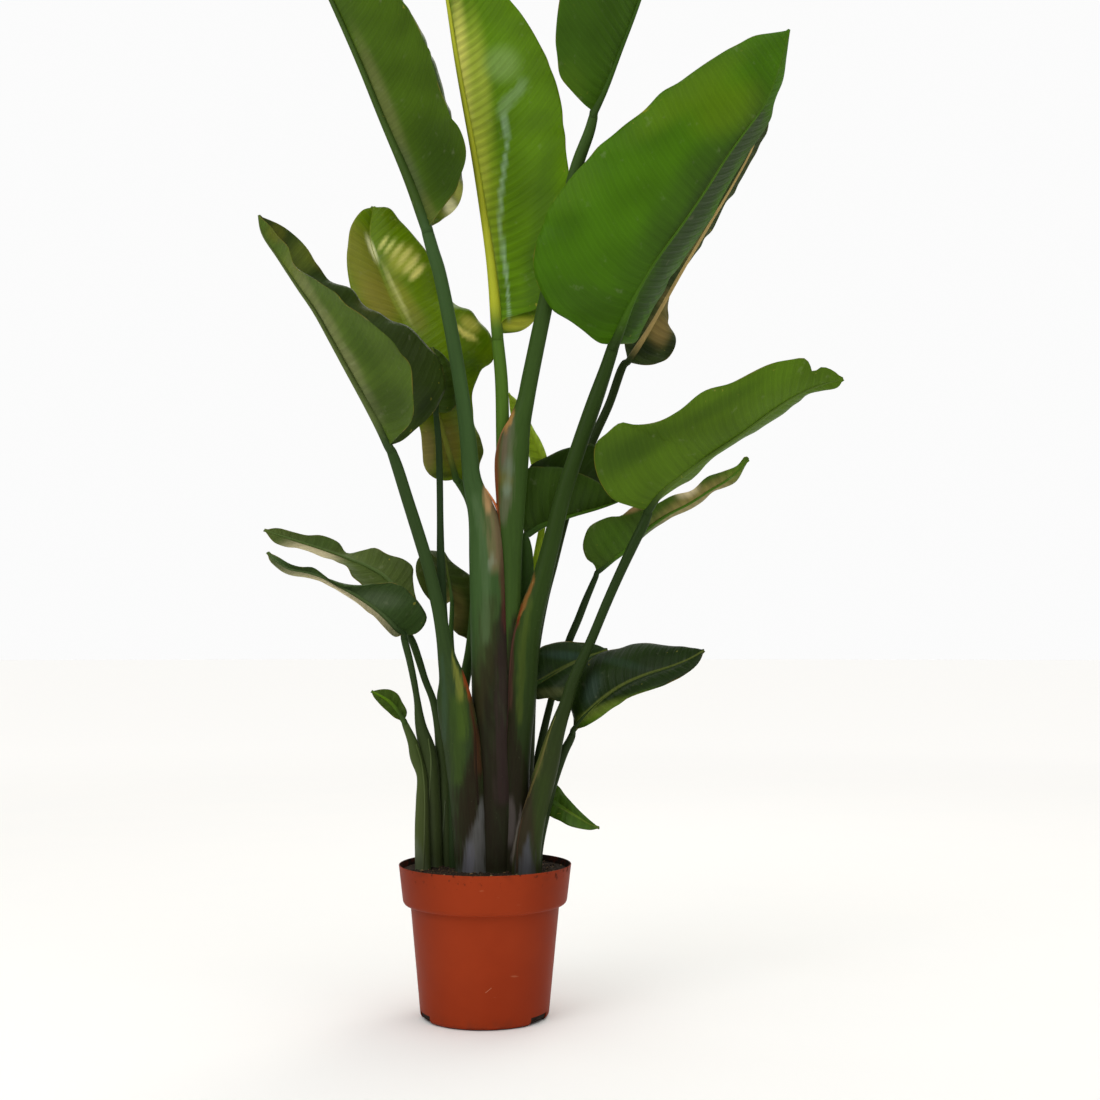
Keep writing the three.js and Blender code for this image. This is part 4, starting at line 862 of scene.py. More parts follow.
def grain_rows(rings):
    """For each corner of a tube, its place round and along it in metres, for streaks that run lengthwise."""
    middle = rings.mean(1)
    travel = np.broadcast_to(distance_along(middle)[:, None], rings.shape[:2])
    spread = np.linalg.norm(rings - middle[:, None], axis=-1)
    turn = np.linspace(0, 2 * np.pi, rings.shape[1], endpoint=False)
    rows = np.stack([spread * np.cos(turn), spread * np.sin(turn), travel], -1).reshape(-1, 3)
    return np.concatenate([rows, [[0, 0, 0], [0, 0, travel[-1, 0]]]])


def stalk_path(leaf):
    """The stalk's smooth path and half widths, in metres, with its last point pushed on into the blade."""
    rows = np.asarray(leaf["stalk"], float)
    widths = MM * rows[:, 3] * (1 + rows[:, 2] / VIEW_DISTANCE)
    points = np.c_[place(rows), widths]
    points[-1, :3] += unit(points[-1, :3] - points[-2, :3]) * STALK_LAP * MM
    count = int(distance_along(points)[-1] / (STALK_PITCH * MM))
    return smooth_path(points, count)


def banded(tint, x, z, bands, facing):
    """Paints bands such as those of MARKS, as far as the skin faces the eye.

    A band mixes in by how near x is to its middle at that height, frayed by upright fibres. It fades in over
    18 mm at its foot and out over 20 mm at its head.
    """
    for colour, strength, rows in bands:
        heights, middles, halves = np.asarray(rows, float).T
        points = np.stack([x * MM, z * MM * FIBRE_SQUEEZE, x * 0], -1)
        fibres = ripple(points, FIBRE_PITCH * MM, int(heights[0] + abs(middles[0])))
        off = np.abs(x - np.interp(z, heights, middles)) / np.interp(z, heights, halves)
        soft = (1 - ease(off + 0.4 * fibres, 0.25, 1.35)) * (0.86 + 0.14 * fibres)
        foot = ease(z, heights[0] - 14, heights[0] + 4)
        head = 1 - ease(z, heights[-1] - 4, heights[-1] + 16)
        tint = tinge(tint, colour, strength * soft * foot * head * facing)
    return tint


def sheath_edge(stalk, rows):
    """A raised lip on the front of a stalk: a flat oval carried up the rows, laid on the stalk's skin.

    The rows give the lip's middle and half width as seen from the front. Its depth is that of the stalk's
    oval at each place.
    """
    rows = np.asarray(rows, float)
    count = int(np.ptp(rows[:, 0]) / LIP_PITCH)
    line = smooth_path(np.c_[rows[:, 1], rows[:, 0], rows[:, 0] * 0, rows[:, 2]], count)
    x, z, half = line[:, 0], line[:, 1], line[:, 3]
    heading = unit(np.gradient(line[:, :2], axis=0))
    turn = np.linspace(0, 2 * np.pi, LIP_SIDES, endpoint=False)[None]
    reach = half[:, None] * np.cos(turn)
    lip_x = x[:, None] + heading[:, 1:] * reach
    lip_z = z[:, None] - heading[:, :1] * reach
    stalk_x, stalk_z = front_view(stalk[:, :3])
    traits = (stalk_x, stalk[:, 1] / MM, stalk[:, 3] / MM)
    middle, depth, wide = (np.interp(lip_z, stalk_z, trait) for trait in traits)
    round_off = np.sqrt(1 - np.clip(np.abs(lip_x - middle) / wide, 0, 0.97) ** 2)
    y = depth - STALK_FLATNESS * wide * round_off - LIP_RISE - LIP_SKIN * np.sin(turn)
    return place(np.stack([lip_x, lip_z, y], -1).reshape(-1, 3)).reshape(*lip_x.shape, 3)


def stalk_piece(name, leaf, material):
    """One leaf's stalk with its sheath: an oval, flatter from front to back, carried up the smooth path.

    The end inside the foot of the midrib closes in to a round: half width times sqrt(1 - d**2).
    """
    path = stalk_path(leaf)
    travel = distance_along(path)
    path[:, 3] *= np.sqrt(1 - np.clip(1 - (travel[-1] - travel) / (STALK_ROUND * MM), 0, 0.95) ** 2)
    along = unit(np.gradient(path[:, :3], axis=0))
    side = unit(np.cross([0, 1, 0], along))
    front = np.cross(along, side)
    sides = THICK_SIDES if path[:, 3].max() > THICK_STALK * MM else THIN_SIDES
    rings = oval_rings(path[:, :3], side, front, path[:, 3], path[:, 3] * STALK_FLATNESS, sides)
    corners, faces = tube(rings)
    x, z = front_view(corners)
    lower, upper = STALKS.get(name, STALK_TONES)
    tint = np.broadcast_to(linear(lower), corners.shape)
    tint = tinge(tint, upper, ease(z - path[0, 2] / MM, *STALK_TURN))
    turned = np.arange(len(corners)) % sides / sides
    facing = ease(-np.sin(2 * np.pi * turned), -0.25, 0.1)
    facing[-2:] = 1
    tint = banded(tint, x, z, MARKS.get(name, []), facing)
    shape = Shape()
    shape.add(corners, faces, tint=tint, grain=grain_rows(rings), uv=np.c_[turned, z / z.max()])
    if name in SHEATH_EDGES:
        stops, rows = SHEATH_EDGES[name]
        lip = sheath_edge(path, rows)
        corners, faces = tube(lip)
        _, z = front_view(corners)
        heights, colours = zip(*stops)
        tint = np.stack([np.interp(z, heights, channel) for channel in linear(colours).T], -1)
        shape.add(corners, faces, tint=tint, grain=grain_rows(lip), uv=np.c_[z / z.max(), z / z.max()])
    piece(f"{name}_stalk", shape.mesh(f"{name}_stalk"), material, "stalk", f"leaf_{name}_stalk")


def blade_sheet(leaf):
    """The middle surface of a blade, as a grid: along the midrib, and across from margin one to margin two.

    Each half is the midrib plus a share s of the way across to the margin, arched by 4 * ARCH * s * (1 - s)
    of the half's width. Gives the grid, the share s with its sign, the half's width and the midrib.
    """
    midrib = place(leaf["rib"])
    count = int(np.clip(distance_along(midrib)[-1] / (BLADE_PITCH * MM), *STEPS_ALONG))
    rib = smooth_path(midrib, count)
    along = np.gradient(rib, axis=0)
    halves, widths = [], []
    for key, sense in (("one", 1), ("two", -1)):
        margin = smooth_path(place([leaf["rib"][0], *leaf[key], leaf["rib"][-1]]), count)
        across = margin - rib
        across[0] = unit(across[1]) * END_HALF_WIDTH * MM
        across[-1] = unit(across[-2]) * END_HALF_WIDTH * MM
        width = np.linalg.norm(across, axis=1)
        lift = sense * unit(np.cross(along, across)) * width[:, None] * 4 * ARCH
        steps = int(np.clip(width.max() / (BLADE_PITCH * MM), *STEPS_ACROSS))
        s = np.linspace(0, 1, steps + 1)[1:][None, :, None]
        halves.append(rib[:, None] + across[:, None] * s + lift[:, None] * s * (1 - s))
        widths.append(np.broadcast_to(width[:, None], halves[-1].shape[:2]))
    sheet = np.concatenate([halves[0][:, ::-1], rib[:, None], halves[1]], 1)
    one, two = (np.linspace(0, 1, half.shape[1] + 1)[1:] for half in halves)
    share = np.r_[-one[::-1], 0, two]
    width = np.concatenate([widths[0], widths[0][:, :1], widths[1]], 1)
    return sheet, np.broadcast_to(share, width.shape), width, rib


def washed(tint, x, z, share, washes):
    """Paints the washes of WASHES: each mixes in by how near the point is to the middle of its tilted oval.

    One with an eighth value keeps to the half of the blade whose share has that sign. Many washes are
    painted highlights, sheen, reflections and shade.
    """
    for colour, strength, at_x, at_z, half_width, half_height, tilt, *half in washes:
        c, s = np.cos(np.radians(tilt)), np.sin(np.radians(tilt))
        u = ((x - at_x) * c + (z - at_z) * s) / half_width
        v = ((z - at_z) * c - (x - at_x) * s) / half_height
        kept = ease(share * half[0], -0.01, 0.05) if half else 1
        tint = tinge(tint, colour, strength * kept * (1 - ease(np.hypot(u, v), 0.35, 1.35)))
    return tint


def both_faces(grid):
    """The grid for the top of a blade, then the same for its bottom, whose columns run the other way."""
    return np.concatenate([grid, grid[:, ::-1]], 1)


def waved(sheet, normal, share, width, travel, wave, seed):
    """The sheet moved along its normal by a wave of so many mm, which dies out at the foot and the tip.

    The wave is a sine of the distance along, a little uneven and out of step on the two halves, which grows
    with the cube of the way to the margin. A random ripple goes with it everywhere.
    """
    dying = np.sin(np.pi * np.linspace(0, 1, len(share)))[:, None] ** 0.5
    length = WAVE_LENGTH * MM + WAVE_STRETCH * width.max()
    turn = 2 * np.pi * travel[:, None] / length + seed + 1.7 * np.sign(share)
    swing = np.abs(share) ** 3 * np.sin(turn + 1.3 * np.sin(0.7 * turn + seed))
    swing = swing + RIPPLE_SHARE * ripple(sheet, RIPPLE_PITCH * MM, seed)
    return sheet + normal * (MM * wave * swing * dying)[..., None]


def add_skin(shape, name, sheet, normal, share, width, travel, seed):
    """Both faces of a blade, joined at the margins and closed at both ends, with what its finish needs.

    They lie on either side of the sheet, at a half thickness that falls from RIB_SKIN to MARGIN_SKIN with
    (1 - share) ** 1.5. A vein's place, spring, is the distance along less what the vein leans to the tip.
    """
    faces_up, upper, under, _, _, _, pleat_shade_strength = BLADES[name]
    rows, columns = share.shape
    skin = MM * (MARGIN_SKIN + (RIB_SKIN - MARGIN_SKIN) * (1 - np.abs(share)) ** 1.5)[..., None]
    loop = np.concatenate([sheet + normal * skin, (sheet - normal * skin)[:, ::-1]], 1)
    corners = loop.reshape(-1, 3)
    index = np.arange(2 * rows * columns).reshape(rows, 2 * columns)
    top, bottom = index[:, :columns], index[:, columns:][:, ::-1]
    caps = [np.stack([top[0, :-1], bottom[0, :-1], bottom[0, 1:], top[0, 1:]], -1),
            np.stack([top[-1, 1:], bottom[-1, 1:], bottom[-1, :-1], top[-1, :-1]], -1)]

    is_upper = (np.arange(2 * columns) < columns) == (faces_up > 0)
    is_upper = np.broadcast_to(is_upper, index.shape).astype(float)
    off_rib = np.abs(share) * width
    gap, edge = both_faces(off_rib), both_faces(width - off_rib)
    spring = both_faces(travel[:, None] - VEIN_LEAN * off_rib - VEIN_BEND / MM * off_rib**2)
    way = np.broadcast_to(np.linspace(0, 1, rows)[:, None], index.shape)
    rib_line = MM * (RIB_LINE + RIB_LINE_MORE * (1 - way))
    # How strongly light and shade are painted on the pleats, fading out away from the midrib
    pleat_shading = pleat_shade_strength * (1 - ease(gap / MM, *PLEAT_REACH))

    x, z = front_view(corners)
    tint = np.broadcast_to(linear(under), corners.shape)
    tint = tinge(tint, upper, is_upper.ravel())
    tint = tint * (1 + MOTTLE_SHARE * ripple(corners, MOTTLE_PITCH * MM, seed + 40)[:, None])
    tint = washed(tint, x, z, both_faces(share).ravel(), WASHES.get(name, []))
    tint = banded(tint, x, z, SHEENS.get(name, []), 1)
    shape.add(corners, [quads(rows, 2 * columns, wrap=True), *caps], tint=tint,
              spot=np.stack([pleat_shading, gap, edge], -1), skin=np.stack([is_upper, rib_line, spring], -1),
              uv=np.stack([way, both_faces(share / 2 + 0.5)], -1))


def add_midrib(shape, name, leaf, rib, normal, share, travel):
    """The midrib: an oval tube that goes on from the stalk, tapers to the tip and stands out underneath.

    Its half width falls evenly with t, the share of the way, and closes in by sqrt(1 - 0.97 * t**12).
    """
    faces_up, _, _, rib_tone, _, slim, _ = BLADES[name]
    stem = stalk_path(leaf)
    start = stem[-1, :3] - unit(stem[-1, :3] - stem[-4, :3]) * RIB_START * MM
    line = np.vstack([start, rib])
    t = np.r_[0, np.linspace(0, 1, len(rib))]
    half = stem[-1, 3] * (1 - slim * ease(t, 0, 0.22)) * (1 - RIB_TAPER * t) * np.sqrt(1 - 0.97 * t**12)
    along = unit(np.gradient(line, axis=0))
    middle = int(np.argmin(np.abs(share[0])))
    down = normal[:, middle - 1] + normal[:, middle + 1]
    down = -faces_up * unit(np.vstack([down[:1], down]))
    down = unit(down - along * (down * along).sum(1, keepdims=True))
    line = line + down * (RIB_DROP * half * ease(t, 0.08, 0.4))[:, None]
    depth = half * (1 - RIB_FLATTENING * ease(t, 0.05, 0.4))
    corners, faces = tube(oval_rings(line, np.cross(down, along), down, half, depth, RIB_SIDES))
    off_stalk = ease(np.r_[np.repeat(np.r_[0, travel], RIB_SIDES), 0, travel[-1]], 0, RIB_TURN * MM)
    tint = np.broadcast_to(linear(rib_tone), corners.shape)
    tint = tinge(tint, STALKS.get(name, STALK_TONES)[1], 1 - off_stalk)
    none = np.zeros(len(corners))
    shape.add(corners, faces, tint=tint, spot=np.c_[none, none + 0.02, none + 0.02],
              skin=np.c_[none, none, none], uv=np.c_[none, none])


def blade_piece(name, leaf, seed, material):
    """One leaf's blade: its arched and waved sheet with a skin on both faces, and the midrib under it."""
    sheet, share, width, rib = blade_sheet(leaf)
    travel = distance_along(rib)
    normal = -unit(np.cross(np.gradient(sheet, axis=0), np.gradient(sheet, axis=1)))
    sheet = waved(sheet, normal, share, width, travel, BLADES[name][4], seed)
    shape = Shape()
    add_skin(shape, name, sheet, normal, share, width, travel, seed)
    add_midrib(shape, name, leaf, rib, normal, share, travel)
    piece(f"{name}_blade", shape.mesh(f"{name}_blade"), material, "blade", f"leaf_{name}_blade")


def lathe(profile, sides):
    """Corners and outward faces of a turned solid: the profile's (radius, height) in mm, swept round +Z.

    The profile starts and ends on the axis, where the fans of the tube close it.
    """
    ring = np.asarray(profile, float)[1:-1] * MM
    turn = np.linspace(0, 2 * np.pi, sides, endpoint=False)[None]
    height = np.broadcast_to(ring[:, 1:], (len(ring), sides))
    return tube(np.stack([ring[:, :1] * np.cos(turn), ring[:, :1] * np.sin(turn), height], -1))


def rounded(profile, radius, steps=5):
    """The profile with a curve in place of each inner corner.

    It is a quadratic curve with the corner as its handle. It starts and ends at the radius from the corner,
    or nearer where a side is short.
    """
    profile = np.asarray(profile, float)
    before, corner, after = profile[:-2], profile[1:-1], profile[2:]
    room = np.minimum(np.linalg.norm(before - corner, axis=1), np.linalg.norm(after - corner, axis=1))
    reach = np.minimum(room * 0.45, radius)[:, None]
    start = corner + unit(before - corner) * reach
    end = corner + unit(after - corner) * reach
    t = np.linspace(0, 1, steps)[None, :, None]
    curve = start[:, None] * (1 - t) ** 2 + corner[:, None] * 2 * t * (1 - t) + end[:, None] * t**2
    return np.vstack([profile[:1], curve.reshape(-1, 2), profile[-1:]])


def notch_cutter(angle):
    """A box across the pot's lower corner at that angle round +Z."""
    reach = np.array([NOTCH_DEPTH, NOTCH_WIDTH / 2, NOTCH_HEIGHT])
    x, y, z = (a.ravel() for a in np.meshgrid(*np.stack([-reach, reach], -1), indexing="ij"))
    outward = np.array([np.cos(angle), np.sin(angle), 0])
    sideways = np.array([-np.sin(angle), np.cos(angle), 0])
    corners = MM * (np.outer(x + BASE_RADIUS, outward) + np.outer(y, sideways) + np.outer(z, [0, 0, 1]))
    faces = np.array([[0, 1, 3, 2], [4, 6, 7, 5], [0, 4, 5, 1], [2, 3, 7, 6], [0, 2, 6, 4], [1, 5, 7, 3]])
    box = Shape()
    box.add(corners, [faces])
    return show("cutter", box.mesh("cutter"))


def pot_piece(material):
    """The nursery pot: its wall's profile turned round +Z, with drain notches cut in the lower corner.

    The profile runs from the axis along the underside, up the outside, over the rim and down the inside.
    """
    foot = POT_HEIGHT - BAND_HEIGHT
    shelf = foot + POT_WALL
    inward, upward = BAND_CHAMFER
    profile = rounded([
        (0, 0), (BASE_RADIUS - FOOT_CHAMFER, 0), (BASE_RADIUS, FOOT_CHAMFER), (BODY_TOP_RADIUS, foot),
        (BAND_FOOT_RADIUS - inward, foot), (BAND_FOOT_RADIUS, foot + upward), (RIM_RADIUS, POT_HEIGHT),
        (RIM_RADIUS - POT_WALL, POT_HEIGHT), (BAND_FOOT_RADIUS - POT_WALL, shelf),
        (BODY_TOP_RADIUS - POT_WALL, shelf), (BASE_RADIUS - POT_WALL, POT_FLOOR), (0, POT_FLOOR),
    ], POT_ROUNDING)
    shape = Shape()
    shape.add(*lathe(profile, POT_SIDES))
    turned = show("turned", shape.mesh("turned"))
    cutters = [notch_cutter(angle) for angle in np.radians(NOTCH_ANGLES)]
    for cutter in cutters:
        notch = turned.modifiers.new("notch", "BOOLEAN")
        notch.operation, notch.solver, notch.object = "DIFFERENCE", "EXACT", cutter
    cut = turned.evaluated_get(bpy.context.evaluated_depsgraph_get())
    mesh = bpy.data.meshes.new_from_object(cut)
    for helper in (turned, *cutters):
        bpy.data.objects.remove(helper)
    mesh.name = "pot_body"
    mesh.set_sharp_from_angle(angle=np.radians(SHARP_DEGREES))
    piece("nursery_pot", mesh, material, "pot_plastic", "pot")


def soil_height(x, y, edge):
    """The height of the soil's top in mm: crowned, with lumps and finer ripples that die out at the edge.

    The crown falls with the square of the way to the edge. The lumps are a sine across times a cosine that
    runs aslant.
    """
    inner = np.hypot(x, y) / edge
    lump = np.sin(x / SOIL_LUMP_PITCH) * np.cos(y / SOIL_LUMP_PITCH + x / (2 * SOIL_LUMP_PITCH))
    flat = np.stack([x, y, x * 0], -1)
    fine = sum(height * ripple(flat, pitch, seed) for height, pitch, seed in SOIL_RIPPLES)
    crown = POT_HEIGHT - SOIL_BELOW_RIM + SOIL_CROWN * (1 - inner**2)
    return crown + (SOIL_LUMP * lump + fine) * (1 - ease(inner, 0.9, 1.0))


def add_grains(shape, edge):
    """Crumbs of peat, and longer, paler bits of bark, half sunk at random places on the soil.

    Each is an eight-faced grain, stretched along three random axes at right angles.
    """
    draw = np.random.default_rng(21)
    count = CRUMBS + BARK_BITS
    r = edge * 0.985 * np.sqrt(draw.uniform(0, 1, count))
    a = draw.uniform(0, 2 * np.pi, count)
    size = draw.uniform(*GRAIN_SIZES, (count, 1, 1)) * draw.uniform(0.5, 1.3, (count, 1, 3))
    size[CRUMBS:] *= BARK_STRETCH
    axes = np.linalg.qr(draw.normal(size=(count, 3, 3)))[0]
    lying = np.array([[[1], [1], [0.25]]])
    axes[CRUMBS:] = np.linalg.qr(draw.normal(size=(BARK_BITS, 3, 3)) * lying)[0]
    axes *= np.sign(np.linalg.det(axes))[:, None, None]
    grain = np.array([[1, 0, 0], [-1, 0, 0], [0, 1, 0], [0, -1, 0], [0, 0, 1], [0, 0, -1]], float)
    x, y = r * np.cos(a), r * np.sin(a)
    middle = np.stack([x, y, soil_height(x, y, edge)], -1)
    bits = middle[:, None] + np.einsum("nij,nkj->nki", axes, grain[None] * size)
    bits[..., 2] = np.minimum(bits[..., 2], POT_HEIGHT - 1)
    eight = np.array([[0, 2, 4], [2, 1, 4], [1, 3, 4], [3, 0, 4], [2, 0, 5], [1, 2, 5], [3, 1, 5], [0, 3, 5]])
    faces = (eight[None] + 6 * np.arange(count)[:, None, None]).reshape(-1, 3)
    pale = np.r_[draw.uniform(0, 0.25, CRUMBS), draw.uniform(0.35, 1, BARK_BITS)]
    dark = np.broadcast_to(linear(CRUMB), (6 * count, 3))
    shape.add(MM * bits, [faces], tint=tinge(dark, BARK, np.repeat(pale, 6)))


def soil_piece(material):
    """The peat: a turned body, a little smaller than the pot's inside, with a lumpy top and grains on it.

    Three rings make its walls, and rings of evenly falling radius, raised to soil_height, make its top.
    """
    inside = POT_WALL + SOIL_CLEARANCE
    shelf = POT_HEIGHT - BAND_HEIGHT + inside
    edge = RIM_RADIUS - inside - (RIM_RADIUS - BAND_FOOT_RADIUS) / BAND_HEIGHT * SOIL_BELOW_RIM
    turn = np.linspace(0, 2 * np.pi, SOIL_SIDES, endpoint=False)
    walls = [(BASE_RADIUS - inside, POT_FLOOR + SOIL_CLEARANCE), (BODY_TOP_RADIUS - inside, shelf),
             (BAND_FOOT_RADIUS - inside, shelf)]
    rings = [np.stack([r * np.cos(turn), r * np.sin(turn), turn * 0 + z], -1) for r, z in walls]
    radius = edge * np.linspace(1, 0.01, SOIL_RINGS)[:, None]
    x, y = radius * np.cos(turn), radius * np.sin(turn)
    crust = np.stack([x, y, soil_height(x, y, edge)], -1)
    corners, faces = tube(MM * np.concatenate([np.stack(rings), crust]))
    shape = Shape()
    shape.add(corners, faces, tint=linear(PEAT) * (1 + 0.35 * ripple(corners, 0.012, 9)[:, None]))
    add_grains(shape, edge)
    piece("peat_soil", shape.mesh("peat_soil"), material, "peat", "soil")


def arithmetic(operation, turned=False):
    """A method of Wire that adds a Math node for it and another value; turned, the other comes first."""
    def method(wire, *other):
        terms = (*other, wire) if turned else (wire, *other)
        return wire.finish.add("ShaderNodeMath", {"operation": operation}, dict(enumerate(terms)))
    return method


class Wire:
    """One output of a shader's node. Arithmetic on wires and numbers adds Math nodes."""

    def __init__(self, finish, socket):
        self.finish, self.socket = finish, socket

    __add__ = arithmetic("ADD")
    __radd__ = arithmetic("ADD", turned=True)
    __sub__ = arithmetic("SUBTRACT")
    __rsub__ = arithmetic("SUBTRACT", turned=True)
    __mul__ = arithmetic("MULTIPLY")
    __truediv__ = arithmetic("DIVIDE")
    __pow__ = arithmetic("POWER")
    __lt__ = arithmetic("LESS_THAN")
    __gt__ = arithmetic("GREATER_THAN")
    sine = arithmetic("SINE")
    size = arithmetic("ABSOLUTE")
    root = arithmetic("SQRT")

    def ease(self, low, high):
        """0 at low, 1 at high, and an S curve between."""
        return self.finish.add("ShaderNodeMapRange", {"interpolation_type": "SMOOTHSTEP"},
                               {"Value": self, "From Min": low, "From Max": high})

    def wave(self, pitch):
        """From 0 to 1 and back, once in so many millimetres."""
        return (self * (2 * np.pi / (pitch * MM))).sine() * 0.5 + 0.5


class Finish:
    """A material, built node by node, that ends in one Principled shader."""

    def __init__(self, name, **constants):
        self.material = bpy.data.materials.new(name)
        self.material.use_nodes = True
        self.tree = self.material.node_tree
        self.shader = self.tree.nodes["Principled BSDF"]
        for key, value in constants.items():
            self.shader.inputs[key.replace("_", " ")].default_value = value

    def add(self, kind, settings=None, sockets=None, output=0):
        """Adds a node by its type, its settings and the values or wires of its sockets; gives one output."""
        node = self.tree.nodes.new(kind)
        for key, value in (settings or {}).items():
            setattr(node, key, value)
        for key, value in (sockets or {}).items():
            if isinstance(value, Wire):
                self.tree.links.new(value.socket, node.inputs[key])
            else:
                node.inputs[key].default_value = value
        return Wire(self, node.outputs[output])

    def split(self, vector):
        """The three numbers of a vector."""
        return [self.add("ShaderNodeSeparateXYZ", None, {0: vector}, output=i) for i in range(3)]

    def trait(self, name):
        """The three numbers that the mesh holds at each corner under that name."""
        return self.split(self.add("ShaderNodeAttribute", {"attribute_name": name}, output="Vector"))

    def tint(self):
        """The colour that the mesh holds at each corner."""
        return self.add("ShaderNodeAttribute", {"attribute_name": "tint"}, output="Color")

    def place(self):
        """The point in metres, in the piece's own frame."""
        return self.add("ShaderNodeTexCoord", output="Object")

    def vector(self, x, y, z):
        """A vector of three numbers."""
        return self.add("ShaderNodeCombineXYZ", None, {0: x, 1: y, 2: z})

    def noise(self, vector, scale, detail=3.0, roughness=0.55, distortion=0.0):
        """Soft random clouds from 0 to 1, about as many as the scale in each unit of the vector."""
        sockets = {"Vector": vector, "Scale": scale, "Detail": detail, "Roughness": roughness,
                   "Distortion": distortion}
        return self.add("ShaderNodeTexNoise", None, sockets)

    def blend(self, share, under, over):
        """The colour under, with a share of the colour over blended in. Either may be a wire."""
        under, over = (c if isinstance(c, Wire) else (*linear(c), 1.0) for c in (under, over))
        return self.add("ShaderNodeMix", {"data_type": "RGBA"}, {0: share, 6: under, 7: over}, output=2)

    def shade(self, colour, amount):
        """The colour times a number."""
        grey = self.vector(amount, amount, amount)
        return self.add("ShaderNodeVectorMath", {"operation": "MULTIPLY"}, {0: colour, 1: grey})

    def bump(self, height, distance):
        """A relief so many metres deep."""
        return self.add("ShaderNodeBump", None, {"Height": height, "Distance": distance, "Strength": 1.0})

    def wear(self, **wires):
        """Puts the wires in the shader's inputs of those names and gives the material."""
        for key, wire in wires.items():
            self.tree.links.new(wire.socket, self.shader.inputs[key.replace("_", " ")])
        return self.material


def blade_finish():
    """Leaf skin: fine veins that leave the midrib and bend to the tip, a pale midrib line, a dry margin."""
    f = Finish("leaf_blade_skin", Specular_IOR_Level=0.07, Coat_Roughness=0.2)
    here = f.place()
    pleat_shading, gap, edge = f.trait("spot")
    upper, rib_line, spring = f.trait("skin")
    cloud = f.noise(here, 14.0, 4.0)
    fine = f.noise(here, 320.0, 2.0)
    run = spring + f.noise(here, 22.0, 2.0) * 0.006
    ridges = run.wave(VEIN_PITCH) ** 3.0
    hair = run.wave(HAIR_PITCH)
    pleat = run.wave(PLEAT_PITCH)
    # Painted light and shade on the folds: stripes along the pleats, strongest near the midrib, where the
    # tone is also darker
    tone = 0.80 + cloud * 0.24 + ridges * 0.08 + hair * 0.04 + pleat * (0.04 + pleat_shading * 0.5) - pleat_shading * 0.2
    colour = f.shade(f.tint(), tone)
    line = (1 - (gap / (rib_line + 0.0008)).ease(0.45, 1.0)) * (gap < 0.5)
    colour = f.blend(line * upper * 0.22, colour, (150, 160, 70))
    colour = f.blend(line * (1 - upper) * 0.2, colour, (100, 124, 40))
    dry = (1 - edge.ease(0.0002, 0.0016)) * f.noise(here, 30.0, 2.0).ease(0.42, 0.66)
    colour = f.blend(dry * 0.55, colour, (138, 116, 44))
    spots = f.noise(here, 150.0, 1.0).ease(0.70, 0.76) * f.noise(here, 9.0, 1.0).ease(0.5, 0.6)
    colour = f.blend(spots * (1 - edge.ease(0.004, 0.03)) * 0.55, colour, (170, 160, 60))
    dust = f.noise(here, 60.0, 3.0).ease(0.62, 0.8)
    colour = f.blend(dust * 0.10, colour, (190, 190, 160))
    rough = 0.46 - upper * 0.12 + cloud * 0.10 + dust * 0.12
    relief = f.bump(ridges * 0.5 + hair * 0.16 + pleat * 1.1 + fine * 0.10, 0.00042)
    return f.wear(Base_Color=colour, Roughness=rough, Coat_Weight=0.01 + upper * 0.05, Normal=relief)


def stalk_finish():
    """Stalk skin: smooth, with fine lengthwise streaks, a few pale flecks and a faint waxy sheen."""
    f = Finish("leaf_stalk_skin", Specular_IOR_Level=0.06, Coat_Roughness=0.3)
    x, y, travel = f.trait("grain")
    here = f.place()
    streak = f.noise(f.vector(x * 260.0, y * 260.0, travel * 9.0), 1.0, 4.0, 0.6)
    band = f.noise(f.vector(x * 90.0, y * 90.0, travel * 5.0), 1.0, 3.0)
    cloud = f.noise(here, 18.0, 3.0)
    colour = f.shade(f.tint(), 0.62 + streak * 0.42 + band * 0.22 + cloud * 0.12)
    fleck = f.noise(here, 210.0, 1.0).ease(0.72, 0.8)
    colour = f.blend(fleck * 0.04, colour, (150, 156, 120))
    rough = 0.38 + streak * 0.16 + band * 0.08
    relief = f.bump(streak * 0.7 + band * 0.8, 0.0005)
    return f.wear(Base_Color=colour, Roughness=rough, Coat_Weight=0.005 + cloud * 0.03, Normal=relief)


